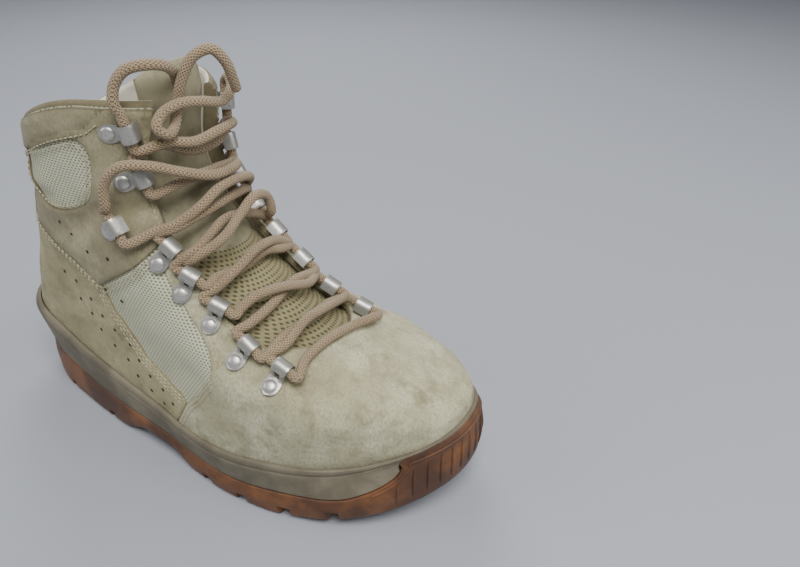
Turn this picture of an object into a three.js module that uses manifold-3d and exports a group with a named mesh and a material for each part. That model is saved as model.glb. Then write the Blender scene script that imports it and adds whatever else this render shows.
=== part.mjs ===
// A right-foot combat boot in suede and mesh on a two-layer moulded sole, laced through eight rows of riveted hooks.
// Millimetres. +X is the toe, +Y the medial (inner) side, +Z up. The origin is on the floor, under the
// middle of the boot's bounding box. Lengths along the boot are first measured from the back of the heel.
import * as THREE from "three";
import { mergeVertices, mergeGeometries } from "three/addons/utils/BufferGeometryUtils.js";
import Module from "manifold-3d";

// Driving dimensions.
const LENGTH = 300; // outsole, heel to toe
const WIDTH_MIDDLE = 2.9; // from the heel's middle line to the middle of the boot's width, to the medial side
const GAP = 0.3; // clearance between pieces that meet
const VAMP_WALL = 2.6; // suede and lining over the toe
const COLLAR_WALL = 7; // padded collar
const LACE_DIAMETER = 5;
const SIDE_COLUMNS = 18; // grid columns from the heel to the toe on each side
const THROAT_COLUMN = 13; // the column that runs up the throat's edge
const THROAT_SLICE = 0.53; // the slice where the throat starts
const LATERAL = -1;
const MEDIAL = 1;

// Slices through the upper, from the feather line at the sole (s 0) to the collar's edge (s 1). Each is a
// plane from a point on the heel's back line to a point on the front line. bow lifts the slice most at the
// share `peak` of its length.
const PROFILE = [
  { s: 0, backX: 7, backZ: 34, frontX: 284, frontZ: 36, bow: -12, peak: 0.68 },
  { s: 0.08, backX: 4, backZ: 44, frontX: 290, frontZ: 45, bow: -10, peak: 0.68 },
  { s: 0.16, backX: 4, backZ: 55, frontX: 295, frontZ: 54, bow: -6, peak: 0.68 },
  { s: 0.26, backX: 8, backZ: 67, frontX: 294, frontZ: 63, bow: -1, peak: 0.68 },
  { s: 0.36, backX: 14, backZ: 81, frontX: 282, frontZ: 72, bow: 3, peak: 0.68 },
  { s: 0.46, backX: 21, backZ: 95, frontX: 252, frontZ: 82, bow: 3, peak: 0.64 },
  { s: 0.56, backX: 28, backZ: 110, frontX: 217, frontZ: 97, bow: 2, peak: 0.6 },
  { s: 0.66, backX: 33, backZ: 124, frontX: 191, frontZ: 116, bow: 1, peak: 0.55 },
  { s: 0.76, backX: 38, backZ: 137, frontX: 170, frontZ: 136, bow: 1, peak: 0.52 },
  { s: 0.86, backX: 43, backZ: 150, frontX: 156, frontZ: 158, bow: 3, peak: 0.5 },
  { s: 0.93, backX: 46, backZ: 163, frontX: 151, frontZ: 180, bow: 7, peak: 0.5 },
  { s: 1, backX: 50, backZ: 176, frontX: 152, frontZ: 202, bow: 12, peak: 0.5 },
];

// Half-widths of the slices at four places, and the lengths over which their two ends close.
const WIDTHS = [
  { s: 0, rear: 30.5, waist: 34, ball: 48, fore: 40.5, backRound: 35, frontRound: 65 },
  { s: 0.08, rear: 33, waist: 37, ball: 51, fore: 44, backRound: 36, frontRound: 65 },
  { s: 0.16, rear: 34, waist: 38, ball: 52, fore: 45, backRound: 36, frontRound: 64 },
  { s: 0.26, rear: 34.5, waist: 38, ball: 52, fore: 44, backRound: 36, frontRound: 63 },
  { s: 0.36, rear: 34.5, waist: 38.5, ball: 50.5, fore: 42, backRound: 35, frontRound: 58 },
  { s: 0.46, rear: 34.5, waist: 38.5, ball: 47, fore: 37, backRound: 33, frontRound: 56 },
  { s: 0.56, rear: 34, waist: 38.5, ball: 43.5, fore: 34.5, backRound: 31, frontRound: 51 },
  { s: 0.66, rear: 34, waist: 39, ball: 41.5, fore: 33.5, backRound: 31, frontRound: 47 },
  { s: 0.76, rear: 34, waist: 39.5, ball: 40, fore: 32, backRound: 31, frontRound: 44 },
  { s: 0.86, rear: 35, waist: 41, ball: 39, fore: 31.5, backRound: 31, frontRound: 43 },
  { s: 0.93, rear: 36, waist: 42, ball: 38, fore: 32, backRound: 32, frontRound: 40 },
  { s: 1, rear: 37, waist: 42, ball: 37.5, fore: 33, backRound: 34, frontRound: 37 },
];

// How far the middle of the foot leans to the medial side, along the sole.
const CENTRE_LINE = [
  { x: 0, shift: 11 },
  { x: 35, shift: 6 },
  { x: 75, shift: 0 },
  { x: 126, shift: -4 },
  { x: 171, shift: -2.5 },
  { x: 211, shift: 2 },
  { x: 243, shift: 7 },
  { x: 269, shift: 12 },
  { x: 300, shift: 15 },
];

// The sole: half-width at its widest edge, the tread's underside, the seam between outsole and midsole on
// each side, and the top edge of the rand on each side.
const SOLE = [
  { x: 0, half: 34.5, tread: 8, seamLateral: 38, seamMedial: 37, rand: 63 },
  { x: 14, half: 34.5, tread: 2, seamLateral: 32, seamMedial: 31, rand: 62 },
  { x: 40, half: 35, tread: 0, seamLateral: 25, seamMedial: 24, rand: 56 },
  { x: 71, half: 37, tread: 0, seamLateral: 22, seamMedial: 18, rand: 47.5 },
  { x: 93, half: 38.5, tread: 0, seamLateral: 20, seamMedial: 18, rand: 43.5 },
  { x: 117, half: 40, tread: 8, seamLateral: 19, seamMedial: 24, rand: 40 },
  { x: 140, half: 42.5, tread: 6, seamLateral: 17, seamMedial: 22, rand: 37.5 },
  { x: 157, half: 46, tread: 0, seamLateral: 15, seamMedial: 18, rand: 35 },
  { x: 184, half: 51.5, tread: 0, seamLateral: 15, seamMedial: 18, rand: 35 },
  { x: 211, half: 54, tread: 0, seamLateral: 17, seamMedial: 19, rand: 36.5 },
  { x: 234, half: 53.5, tread: 3, seamLateral: 19, seamMedial: 21, rand: 37.5 },
  { x: 250, half: 52.5, tread: 6, seamLateral: 21, seamMedial: 25, rand: 39 },
  { x: 264, half: 51, tread: 9, seamLateral: 27, seamMedial: 31, rand: 42 },
  { x: 274, half: 49, tread: 12, seamLateral: 35, seamMedial: 39, rand: 46 },
  { x: 284, half: 46.5, tread: 16, seamLateral: 54, seamMedial: 56, rand: 51 },
  { x: 300, half: 43, tread: 24, seamLateral: 75, seamMedial: 75, rand: 59 },
];
const SOLE_HEEL_ROUND = 46;
const SOLE_TOE_ROUND = 66;
const RAND = 2.4; // thickness of the rand's top edge
const MIDSOLE_FLOOR = 9; // thickness left under the foot between the two layers

// How far the throat reaches to each side of the boot's middle, by slice. It lies off centre, to the lateral side.
const THROAT = [
  { s: 0, lateral: 26, medial: 20 },
  { s: 0.5, lateral: 32, medial: 21 },
  { s: 0.6, lateral: 32, medial: 21 },
  { s: 0.7, lateral: 29, medial: 23 },
  { s: 0.8, lateral: 27, medial: 23 },
  { s: 0.9, lateral: 25, medial: 21 },
  { s: 1, lateral: 21, medial: 18 },
];

// Wall thickness of the upper, by slice.
const WALLS = [
  { s: 0, thick: VAMP_WALL },
  { s: 0.5, thick: VAMP_WALL + 0.4 },
  { s: 0.78, thick: 4.5 },
  { s: 0.92, thick: COLLAR_WALL },
  { s: 1, thick: COLLAR_WALL - 1.5 },
];

// The eight rows of hooks on each side: where a rivet stands on the upper, and how far its tab turns up from
// the slice, in degrees.
const HOOKS = [
  { side: "lateral", row: 8, x: 213, z: 83, turn: 62 },
  { side: "lateral", row: 7, x: 193, z: 91, turn: 54 },
  { side: "lateral", row: 6, x: 176, z: 104, turn: 66 },
  { side: "lateral", row: 5, x: 160, z: 117, turn: 62 },
  { side: "lateral", row: 4, x: 147, z: 130, turn: 48 },
  { side: "lateral", row: 3, x: 122, z: 143, turn: 34 },
  { side: "lateral", row: 2, x: 130, z: 168, turn: 18 },
  { side: "lateral", row: 1, x: 128, z: 192, turn: 12 },
  { side: "medial", row: 8, x: 222, z: 88, turn: 50 },
  { side: "medial", row: 7, x: 203, z: 97, turn: 46 },
  { side: "medial", row: 6, x: 186, z: 108, turn: 50 },
  { side: "medial", row: 5, x: 169, z: 121, turn: 46 },
  { side: "medial", row: 4, x: 154, z: 134, turn: 40 },
  { side: "medial", row: 3, x: 136, z: 147, turn: 30 },
  { side: "medial", row: 2, x: 136, z: 169, turn: 18 },
  { side: "medial", row: 1, x: 134, z: 192, turn: 12 },
];

// A smooth curve through a table's rows that never overshoots them (Fritsch and Carlson's slopes).
function column(table, along, name) {
  const xs = table.map((row) => row[along]);
  const ys = table.map((row) => row[name]);
  const last = xs.length - 1;
  const steps = xs.slice(1).map((x, i) => (ys[i + 1] - ys[i]) / (x - xs[i]));
  const slopes = xs.map((x, i) => {
    if (i === 0 || i === last) return steps[Math.min(i, last - 1)];
    const [before, after] = [steps[i - 1], steps[i]];
    return before * after <= 0 ? 0 : (2 * before * after) / (before + after);
  });
  return (x) => {
    const at = Math.min(Math.max(x, xs[0]), xs[last]);
    let i = 0;
    while (i < last - 1 && at > xs[i + 1]) i++;
    const h = xs[i + 1] - xs[i];
    const t = (at - xs[i]) / h;
    const [t2, t3] = [t * t, t * t * t];
    return (
      (2 * t3 - 3 * t2 + 1) * ys[i] +
      (t3 - 2 * t2 + t) * h * slopes[i] +
      (3 * t2 - 2 * t3) * ys[i + 1] +
      (t3 - t2) * h * slopes[i + 1]
    );
  };
}

const columnsOf = (table, along) =>
  Object.fromEntries(
    Object.keys(table[0])
      .filter((name) => name !== along)
      .map((name) => [name, column(table, along, name)]),
  );
const slice = { ...columnsOf(PROFILE, "s"), ...columnsOf(WIDTHS, "s") };
const sole = columnsOf(SOLE, "x");
const centreShift = column(CENTRE_LINE, "x", "shift");
const throat = columnsOf(THROAT, "s");
const throatReach = (s, side) => (side < 0 ? throat.lateral(s) : throat.medial(s));
const wallAt = column(WALLS, "s", "thick");

// 0 at an end, 1 from a distance of `round` inwards, along a superellipse.
function endClosing(distance, round, power) {
  const part = Math.max(0, 1 - distance / round);
  return Math.pow(Math.max(0, 1 - Math.pow(part, power)), 1 / power);
}

// Where the slice's half-widths are given, as shares of the way from back to front.
const WIDTH_PLACES = [0, 0.12, 0.38, 0.68, 0.9, 1];
const END_POWER = 2.25;

// Half-width of slice s at share q of the way from back to front.
function halfWidth(s, q) {
  const widths = [slice.rear(s) * 0.97, slice.rear(s), slice.waist(s), slice.ball(s), slice.fore(s), slice.fore(s) * 0.92];
  const rows = WIDTH_PLACES.map((place, i) => ({ place, width: widths[i] }));
  const length = Math.hypot(slice.frontX(s) - slice.backX(s), slice.frontZ(s) - slice.backZ(s));
  const ends = endClosing(q * length, slice.backRound(s), END_POWER) * endClosing((1 - q) * length, slice.frontRound(s), END_POWER);
  return column(rows, "place", "width")(q) * ends;
}

const shareAlong = (tau) => (1 - Math.cos(Math.PI * tau)) / 2;

// A point on the upper's outer surface: slice s, side, and tau from 0 at the back to 1 at the front.
function lastPoint(s, side, tau) {
  const q = shareAlong(tau);
  const x = slice.backX(s) + q * (slice.frontX(s) - slice.backX(s));
  const bump = Math.sin(Math.PI * Math.pow(q, Math.log(0.5) / Math.log(slice.peak(s))));
  const z = slice.backZ(s) + q * (slice.frontZ(s) - slice.backZ(s)) + slice.bow(s) * bump;
  const y = centreShift(x) * (1 - 0.7 * s) + side * halfWidth(s, q);
  return new THREE.Vector3(x, y, z);
}

// The outward normal of the upper's outer surface.
function lastNormal(s, side, tau) {
  const step = 0.004;
  const [low, high] = [Math.max(0, s - step), Math.min(1, s + step)];
  const up = lastPoint(high, side, tau).sub(lastPoint(low, side, tau));
  const [t0, t1] = [Math.max(0.002, tau - step), Math.min(0.998, tau + step)];
  const along = tau < step || tau > 1 - step ? new THREE.Vector3(0, side * (tau < 0.5 ? 1 : -1), 0) : lastPoint(s, side, t1).sub(lastPoint(s, side, t0));
  return along.cross(up).multiplyScalar(-side).normalize();
}

const offsetPoint = (s, side, tau, out) => lastPoint(s, side, tau).addScaledVector(lastNormal(s, side, tau), out);

// The tau at which slice s, towards its front, is `reach` from the boot's middle.
function frontTau(s, reach) {
  let [low, high] = [0.3, 1];
  for (let i = 0; i < 30; i++) {
    const middle = (low + high) / 2;
    if (halfWidth(s, shareAlong(middle)) > reach) low = middle;
    else high = middle;
  }
  return low;
}

// The tau of grid column k on one side, so that one column always follows the throat's edge.
function columnTau(s, side, k) {
  const edge = frontTau(s, throatReach(s, side));
  if (k <= THROAT_COLUMN) return (edge * k) / THROAT_COLUMN;
  return edge + ((1 - edge) * (k - THROAT_COLUMN)) / (SIDE_COLUMNS - THROAT_COLUMN);
}

// Runs round the boot: up the lateral side from the heel to the toe, and back down the medial side.
function aroundBoot(pointOf) {
  const ring = [];
  for (let k = 0; k <= SIDE_COLUMNS; k++) ring.push(pointOf(LATERAL, k));
  for (let k = SIDE_COLUMNS - 1; k > 0; k--) ring.push(pointOf(MEDIAL, k));
  return ring;
}

const upperRing = (s, out, lift = 0) =>
  aroundBoot((side, k) => offsetPoint(s, side, columnTau(s, side, k), out).add(new THREE.Vector3(0, 0, lift)));

// A geometry from points and triangles of point indices.
function geometryOf(points, triangles) {
  const geometry = new THREE.BufferGeometry().setFromPoints(points);
  geometry.setIndex(triangles.flat());
  return mergeVertices(geometry, 1e-3);
}

// Joins a stack of rings into a closed solid. Each end is closed by strips from side to side.
function ringSolid(rings) {
  const size = rings[0].length;
  const triangles = [];
  for (let j = 0; j + 1 < rings.length; j++)
    for (let i = 0; i < size; i++) {
      const [a, b] = [j * size + i, j * size + ((i + 1) % size)];
      triangles.push([a, b, b + size], [a, b + size, a + size]);
    }
  const cap = (start, flip) => {
    for (let k = 0; k < SIDE_COLUMNS; k++) {
      const [a, b] = [start + k, start + k + 1];
      const [c, d] = [start + ((size - k - 1) % size), start + ((size - k) % size)];
      for (const [p, q, r] of [[a, c, b], [a, d, c]]) triangles.push(flip ? [p, r, q] : [p, q, r]);
    }
  };
  cap(0, false);
  cap((rings.length - 1) * size, true);
  return geometryOf(rings.flat(), triangles);
}

// A sheet with thickness: two grids of points, outer and inner, and a test of which cells are there.
function thickSheet(outer, inner, wraps, present = () => true) {
  const [rows, size] = [outer.length, outer[0].length];
  const cells = wraps ? size : size - 1;
  const far = rows * size;
  const at = (j, i) => j * size + (i % size);
  const there = (j, i) => {
    if (j < 0 || j >= rows - 1 || (!wraps && (i < 0 || i >= cells))) return false;
    return present(j, (i + cells) % cells);
  };
  const triangles = [];
  const quad = (a, b, c, d) => triangles.push([a, b, c], [a, c, d]);
  for (let j = 0; j < rows - 1; j++)
    for (let i = 0; i < cells; i++) {
      if (!there(j, i)) continue;
      const [a, b, c, d] = [at(j, i), at(j, i + 1), at(j + 1, i + 1), at(j + 1, i)];
      quad(a, b, c, d);
      quad(a + far, d + far, c + far, b + far);
      if (!there(j - 1, i)) quad(a, a + far, b + far, b);
      if (!there(j + 1, i)) quad(c, c + far, d + far, d);
      if (!there(j, i - 1)) quad(d, d + far, a + far, a);
      if (!there(j, i + 1)) quad(b, b + far, c + far, c);
    }
  return geometryOf([...outer.flat(), ...inner.flat()], triangles);
}

// Manifold-3d joins and cuts closed geometries.
const wasm = await Module();
wasm.setup();

function solidOf(geometry) {
  const bare = geometry.clone();
  for (const name of Object.keys(bare.attributes)) if (name !== "position") bare.deleteAttribute(name);
  const merged = mergeVertices(bare, 1e-3);
  return new wasm.Manifold(
    new wasm.Mesh({
      numProp: 3,
      vertProperties: new Float32Array(merged.attributes.position.array),
      triVerts: new Uint32Array(merged.index.array),
    }),
  );
}

function geometryFrom(solid) {
  const mesh = solid.getMesh();
  const geometry = new THREE.BufferGeometry();
  geometry.setAttribute("position", new THREE.BufferAttribute(new Float32Array(mesh.vertProperties), 3));
  geometry.setIndex([...mesh.triVerts]);
  return geometry;
}

// A tube along a path of points.
function tube(points, diameter, steps, sides = 8) {
  const path = new THREE.CatmullRomCurve3(points, false, "centripetal");
  const section = new THREE.Shape();
  for (let i = 0; i < sides; i++) {
    const angle = (2 * Math.PI * i) / sides;
    const [x, y] = [(Math.cos(angle) * diameter) / 2, (Math.sin(angle) * diameter) / 2];
    if (i === 0) section.moveTo(x, y);
    else section.lineTo(x, y);
  }
  section.closePath();
  return new THREE.ExtrudeGeometry(section, { steps, extrudePath: path });
}

// ---- Sole ----

// A point on the sole's outline, `out` beyond its widest edge, at tau from the heel to the toe.
function soleEdge(side, tau, out) {
  const spot = (t) => {
    const x = LENGTH * shareAlong(t);
    const ends = endClosing(x, SOLE_HEEL_ROUND, END_POWER) * endClosing(LENGTH - x, SOLE_TOE_ROUND, END_POWER);
    return new THREE.Vector2(x, centreShift(x) + side * sole.half(x) * ends);
  };
  const step = 0.004;
  const along = spot(Math.min(1, tau + step)).sub(spot(Math.max(0, tau - step)));
  const normal = new THREE.Vector2(-side * along.y, side * along.x).normalize();
  if (tau < step) normal.set(-1, 0);
  if (tau > 1 - step) normal.set(1, 0);
  return spot(tau).addScaledVector(normal, out);
}

const soleTau = (k) => k / SIDE_COLUMNS;

function soleRing(out, heightOf) {
  return aroundBoot((side, k) => {
    const edge = soleEdge(side, soleTau(k), out);
    return new THREE.Vector3(edge.x, edge.y, heightOf(edge.x, side));
  });
}

// The slice at which the upper's surface reaches height z, on one side at one tau.
function sliceAtHeight(z, side, tau) {
  let [low, high] = [0, 0.4];
  for (let i = 0; i < 24; i++) {
    const middle = (low + high) / 2;
    if (lastPoint(middle, side, tau).z < z) low = middle;
    else high = middle;
  }
  return low;
}

// The rand's top edge lies on the upper, `out` beyond its surface.
function randRing(out, lift) {
  return aroundBoot((side, k) => {
    const tau = soleTau(k);
    const height = sole.rand(soleEdge(side, tau, 0).x) + lift;
    const point = offsetPoint(sliceAtHeight(height, side, tau), side, tau, out);
    return new THREE.Vector3(point.x, point.y, height);
  });
}

const seamHeight = (x, side) => (side === LATERAL ? sole.seamLateral(x) : sole.seamMedial(x));
const ledge = (x, side) => Math.min(seamHeight(x, side), sole.rand(x) - 6);

// The whole sole, outsole and midsole together, before the foot's hollow is cut.
function soleBlock() {
  return solidOf(
    ringSolid([
      soleRing(-3.5, (x) => sole.tread(x)),
      soleRing(-0.5, (x) => sole.tread(x) + 3.5),
      soleRing(0, (x, side) => (sole.tread(x) + 3.5 + ledge(x, side)) / 2),
      soleRing(-1.2, (x, side) => ledge(x, side)),
      randRing(RAND + 1.4, -5),
      randRing(RAND, 0),
    ]),
  );
}

// The upper's outer form, a gap larger, closed: what the sole is hollowed by.
function footPlug() {
  return solidOf(ringSolid([upperRing(0, GAP, -GAP), ...[0.04, 0.08, 0.12, 0.16, 0.22, 0.3].map((s) => upperRing(s, GAP))]));
}

// Everything below the seam between outsole and midsole, moved up by `lift`.
function belowSeam(lift) {
  const footFloor = (x) => slice.backZ(0) - GAP - 14 * Math.min(1, Math.max(0, x - 40) / 130);
  const inner = (x) => Math.max(footFloor(x) - MIDSOLE_FLOOR, sole.tread(x) + GROOVE_DEPTH + 2);
  return solidOf(
    ringSolid([
      soleRing(20, () => -40),
      soleRing(20, (x, side) => seamHeight(x, side) + lift),
      soleRing(-9.5, (x, side) => seamHeight(x, side) + lift),
      soleRing(-13, (x) => inner(x) + lift),
    ]),
  );
}

// A block that cuts a groove across the tread, from near the middle out past one side.
function groove(x, side, width, top) {
  const shape = new THREE.Shape();
  const [inside, outside, lean] = [side * 4, side * 75, 14];
  shape.moveTo(x - width * 0.3, inside);
  shape.lineTo(x + width * 0.3, inside);
  shape.lineTo(x + width * 0.62 - lean, outside);
  shape.lineTo(x - width * 0.62 - lean, outside);
  shape.closePath();
  const block = new THREE.ExtrudeGeometry(shape, { depth: top + 10, bevelEnabled: false });
  block.translate(0, 0, -10);
  return solidOf(block);
}

// The tread's grooves: where each crosses the centre line, and its width at the edge.
const GROOVES = [
  { x: 45, width: 6 },
  { x: 90, width: 6 },
  { x: 178, width: 7 },
  { x: 203, width: 7 },
  { x: 229, width: 7 },
  { x: 254, width: 7 },
];
const GROOVE_DEPTH = 6;

// Two channels run along the tread beside its middle.
function channel(from, to, y) {
  const box = new THREE.BoxGeometry(to - from, 4, 10 + GROOVE_DEPTH - 1);
  box.translate((from + to) / 2, y, (GROOVE_DEPTH - 11) / 2);
  return solidOf(box);
}

function soleParts() {
  const block = soleBlock().subtract(footPlug());
  let outsole = block.intersect(belowSeam(-GAP / 2));
  const midsole = block.subtract(belowSeam(GAP / 2));
  for (const { x, width } of GROOVES)
    for (const side of [LATERAL, MEDIAL]) outsole = outsole.subtract(groove(x, side, width, sole.tread(x) + GROOVE_DEPTH));
  for (const y of [-15, 13]) outsole = outsole.subtract(channel(164, 240, y)).subtract(channel(18, 86, y + 2));
  return { outsole: geometryFrom(outsole), midsole: geometryFrom(midsole) };
}

// ---- Upper, tongue and insole ----

const UPPER_SLICES = [0, 0.05, 0.1, 0.16, 0.22, 0.28, 0.34, 0.4, 0.47, THROAT_SLICE, 0.59, 0.66, 0.72, 0.78, 0.84, 0.9, 0.95, 1];

function upper() {
  const inThroat = (j, i) => UPPER_SLICES[j] >= THROAT_SLICE && i >= THROAT_COLUMN && i < 2 * SIDE_COLUMNS - THROAT_COLUMN;
  return thickSheet(
    UPPER_SLICES.map((s) => upperRing(s, 0)),
    UPPER_SLICES.map((s) => upperRing(s, -wallAt(s))),
    true,
    (j, i) => !inThroat(j, i),
  );
}

// A point at a distance across the throat from the middle of the front, following slice s.
function acrossThroat(s, across, out) {
  const side = across < 0 ? LATERAL : MEDIAL;
  return offsetPoint(s, side, frontTau(s, Math.abs(across)), out);
}

const TONGUE_THICK = 4;
const TONGUE_TOP = 17; // how far the tongue stands above the collar's front
const TONGUE_LEAN = -2; // and how far its top leans forward of it

// The tongue lies inside the throat and reaches above the collar.
function tongue() {
  const across = [-1, -0.75, -0.5, -0.25, 0, 0.25, 0.5, 0.75, 1];
  const rows = [0.47, 0.54, 0.61, 0.68, 0.74, 0.8, 0.86, 0.92, 1];
  const layer = (depth) => {
    const grid = rows.map((s) =>
      across.map((share) => acrossThroat(s, share * (throatReach(s, Math.sign(share)) + 5), -wallAt(s) - 1.2 - depth)),
    );
    const top = grid[grid.length - 1].map((point, i) => {
      const rounding = 1 - Math.pow(Math.abs(across[i]), 3) * 0.45;
      return point.clone().add(new THREE.Vector3(TONGUE_LEAN, 0, TONGUE_TOP * rounding));
    });
    return [...grid, top];
  };
  return thickSheet(layer(0), layer(TONGUE_THICK), false);
}

const INSOLE_THICK = 5;

function insole() {
  const inset = -(wallAt(0) + 0.8);
  return ringSolid([upperRing(0.004, inset, 0), upperRing(0.004, inset, INSOLE_THICK)]);
}

// ---- Hooks and laces ----

const HOOK = {
  plateRadius: 4.6,
  thick: 0.9,
  rivetRadius: 3.5,
  rivetHeight: 1.1,
  channel: 10.4, // from the rivet to the middle of the channel for the lace
  channelRadius: 3.4,
  endHalfWidth: 4.3,
};

// One riveted tab whose end arches over the lace. Its origin is the rivet; +X leads to the throat.
function hookGeometry() {
  const { plateRadius, thick, channel: middle, channelRadius: inner, endHalfWidth } = HOOK;
  const outer = inner + thick;
  const axisHeight = inner + 0.1;
  const side = new THREE.Shape();
  side.moveTo(-plateRadius - 1, 0);
  side.lineTo(middle - inner - 1.2, 0);
  side.lineTo(middle - inner, axisHeight);
  side.absarc(middle, axisHeight, inner, Math.PI, 0, true);
  side.lineTo(middle + inner, 0);
  side.lineTo(middle + outer, 0);
  side.lineTo(middle + outer, axisHeight);
  side.absarc(middle, axisHeight, outer, 0, Math.PI, false);
  side.lineTo(middle - outer - 1.2, thick);
  side.lineTo(-plateRadius - 1, thick);
  side.closePath();
  const strip = new THREE.ExtrudeGeometry(side, { depth: 12, bevelEnabled: false, curveSegments: 4 });
  strip.translate(0, 0, -6);
  strip.rotateX(Math.PI / 2);
  const plan = new THREE.Shape();
  plan.absarc(0, 0, plateRadius, Math.PI * 0.45, Math.PI * 1.55, false);
  plan.lineTo(middle - inner, -endHalfWidth * 0.88);
  plan.lineTo(middle + outer + 1, -endHalfWidth);
  plan.lineTo(middle + outer + 1, endHalfWidth);
  plan.lineTo(middle - inner, endHalfWidth * 0.88);
  plan.closePath();
  const window = new THREE.Path();
  window.moveTo(middle - inner - 1.2, 0.8).lineTo(middle - inner + 2, 2.1);
  window.lineTo(middle - inner + 2, -2.1).lineTo(middle - inner - 1.2, -0.8);
  window.closePath();
  plan.holes.push(window);
  const outline = new THREE.ExtrudeGeometry(plan, { depth: 10, bevelEnabled: false, curveSegments: 4 });
  outline.translate(0, 0, -0.5);
  const rivet = new THREE.LatheGeometry(
    [
      new THREE.Vector2(0, 0.3),
      new THREE.Vector2(HOOK.rivetRadius, 0.3),
      new THREE.Vector2(HOOK.rivetRadius, thick + HOOK.rivetHeight * 0.5),
      new THREE.Vector2(HOOK.rivetRadius * 0.7, thick + HOOK.rivetHeight),
      new THREE.Vector2(0, thick + HOOK.rivetHeight),
    ],
    8,
  );
  rivet.rotateX(Math.PI / 2);
  return geometryFrom(solidOf(strip).intersect(solidOf(outline)).add(solidOf(rivet)));
}

// The slice and tau at which one side of the upper's surface is at length x and height z.
function placeOnUpper(x, z, side) {
  const tauAt = (s) => {
    const share = (x - slice.backX(s)) / (slice.frontX(s) - slice.backX(s));
    return Math.acos(1 - 2 * Math.min(1, Math.max(0, share))) / Math.PI;
  };
  let [low, high] = [0, 1];
  for (let i = 0; i < 30; i++) {
    const middle = (low + high) / 2;
    if (lastPoint(middle, side, tauAt(middle)).z < z) low = middle;
    else high = middle;
  }
  return { s: low, tau: tauAt(low) };
}

const HOOK_LIFT = 0.6; // keeps the flat tab clear of the curved upper

// The matrix that sets a hook on the upper.
function hookMatrix({ side: name, x, z, turn }) {
  const side = name === "lateral" ? LATERAL : MEDIAL;
  const { s, tau } = placeOnUpper(x, z, side);
  const normal = lastNormal(s, side, tau);
  const toThroat = lastPoint(s, side, tau + 0.02).sub(lastPoint(s, side, tau));
  toThroat.addScaledVector(normal, -toThroat.dot(normal)).normalize();
  toThroat.applyAxisAngle(normal, THREE.MathUtils.degToRad(-side * turn));
  const cross = new THREE.Vector3().crossVectors(normal, toThroat);
  const matrix = new THREE.Matrix4().makeBasis(toThroat, cross, normal);
  return matrix.setPosition(offsetPoint(s, side, tau, HOOK_LIFT));
}

// The lace's strands between hooks, from one hook's channel to another's. Each leaves by the channel's high
// or low end; the points between are [slice, distance across the throat, height above the upper's form].
const STRANDS = [
  { from: "lateral 8 low", over: [[0.5, -27, 3.5], [0.53, -12, 3.2], [0.525, 3, 4], [0.505, 13, 6.5]], to: "medial 8 low" },
  { from: "lateral 8 high", over: [[0.53, -27, 5], [0.57, -13, 7], [0.57, 3, 6]], to: "medial 7 low" },
  { from: "medial 8 high", over: [[0.57, 9, 3], [0.575, -9, 1.5], [0.55, -24, 3.2]], to: "lateral 7 low" },
  { from: "lateral 7 high", over: [[0.585, -28, 4.5], [0.62, -16, 2.5], [0.64, 2, 2.5]], to: "medial 6 low" },
  { from: "medial 7 high", over: [[0.62, 5, 5.5], [0.64, -9, 7.5], [0.64, -19, 6], [0.62, -26, 4.5]], to: "lateral 6 low" },
  { from: "lateral 6 high", over: [[0.67, -26, 5], [0.7, -16, 7], [0.72, -4, 7], [0.71, 10, 5.5]], to: "medial 5 low" },
  { from: "medial 6 high", over: [[0.69, 12, 3.5], [0.71, 3, 2], [0.7, -15, 1.5], [0.69, -24, 3.2]], to: "lateral 5 low" },
  { from: "lateral 5 high", over: [[0.755, -22, 8], [0.78, -15, 4], [0.8, -5, 2], [0.78, 10, 3.5]], to: "medial 4 low" },
  {
    from: "medial 5 high",
    over: [[0.755, 15, 11], [0.79, 12, 15], [0.81, 5, 15], [0.79, -4, 10], [0.765, -13, 10], [0.745, -21, 9.5]],
    to: "lateral 4 low",
  },
  { from: "lateral 4 high", over: [[0.805, -24, 7], [0.825, -14, 5], [0.835, 0, 4.5], [0.825, 14, 5]], to: "medial 3 low" },
  {
    from: "medial 4 high",
    over: [[0.84, 16, 10], [0.865, 5, 10.5], [0.865, -5, 10], [0.84, -14, 9], [0.81, -24, 7.5], [0.8, -30, 5]],
    to: "lateral 3 low",
  },
  {
    from: "lateral 3 high",
    over: [
      [0.86, -37, 8.5],
      [0.9, -35, 11],
      [0.93, -31, 12.5],
      [0.93, -24, 12.5],
      [0.91, -16, 11.5],
      [0.89, -6, 11],
      [0.885, 7, 10],
    ],
    to: "medial 2 low",
  },
  { from: "medial 3 high", over: [[0.88, 16, 4], [0.89, 3, 2], [0.89, -14, 3.2]], to: "lateral 2 low" },
  { from: "lateral 2 high", over: [[0.95, -20, 3.5], [0.93, -8, 2], [0.93, 8, 3.5]], to: "medial 1 low" },
  { from: "medial 2 high", over: [[0.95, 15, 8.5], [0.955, 2, 8], [0.95, -9, 7], [0.955, -18, 5.5]], to: "lateral 1 low" },
];

// The lace's two loose ends. Each runs from the middle of a top hook's channel, out by its high end and on
// through these points.
const LOOSE_ENDS = [
  {
    name: "lace_end_lateral",
    from: "lateral 1",
    points: [
      [137, -37, 207],
      [138, -36, 215],
      [143, -33, 222],
      [150, -27, 224],
      [152, -19, 222],
      [150, -12, 217],
      [147, -8, 211],
    ],
  },
  {
    name: "lace_end_medial",
    from: "medial 1",
    points: [
      [149, 25, 206],
      [157, 17, 204],
      [160, 6, 201],
      [158, -7, 204],
      [155, -17, 205],
      [152, -25, 202],
      [152, -29, 197],
      [154, -25, 193],
      [152, -18, 195],
      [151, -14, 203],
      [155, -12, 216],
      [160, -9, 225],
      [166, -4, 228],
      [169, 1, 222],
      [169, 5, 213],
      [168, 8, 207],
    ],
  },
];

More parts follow.
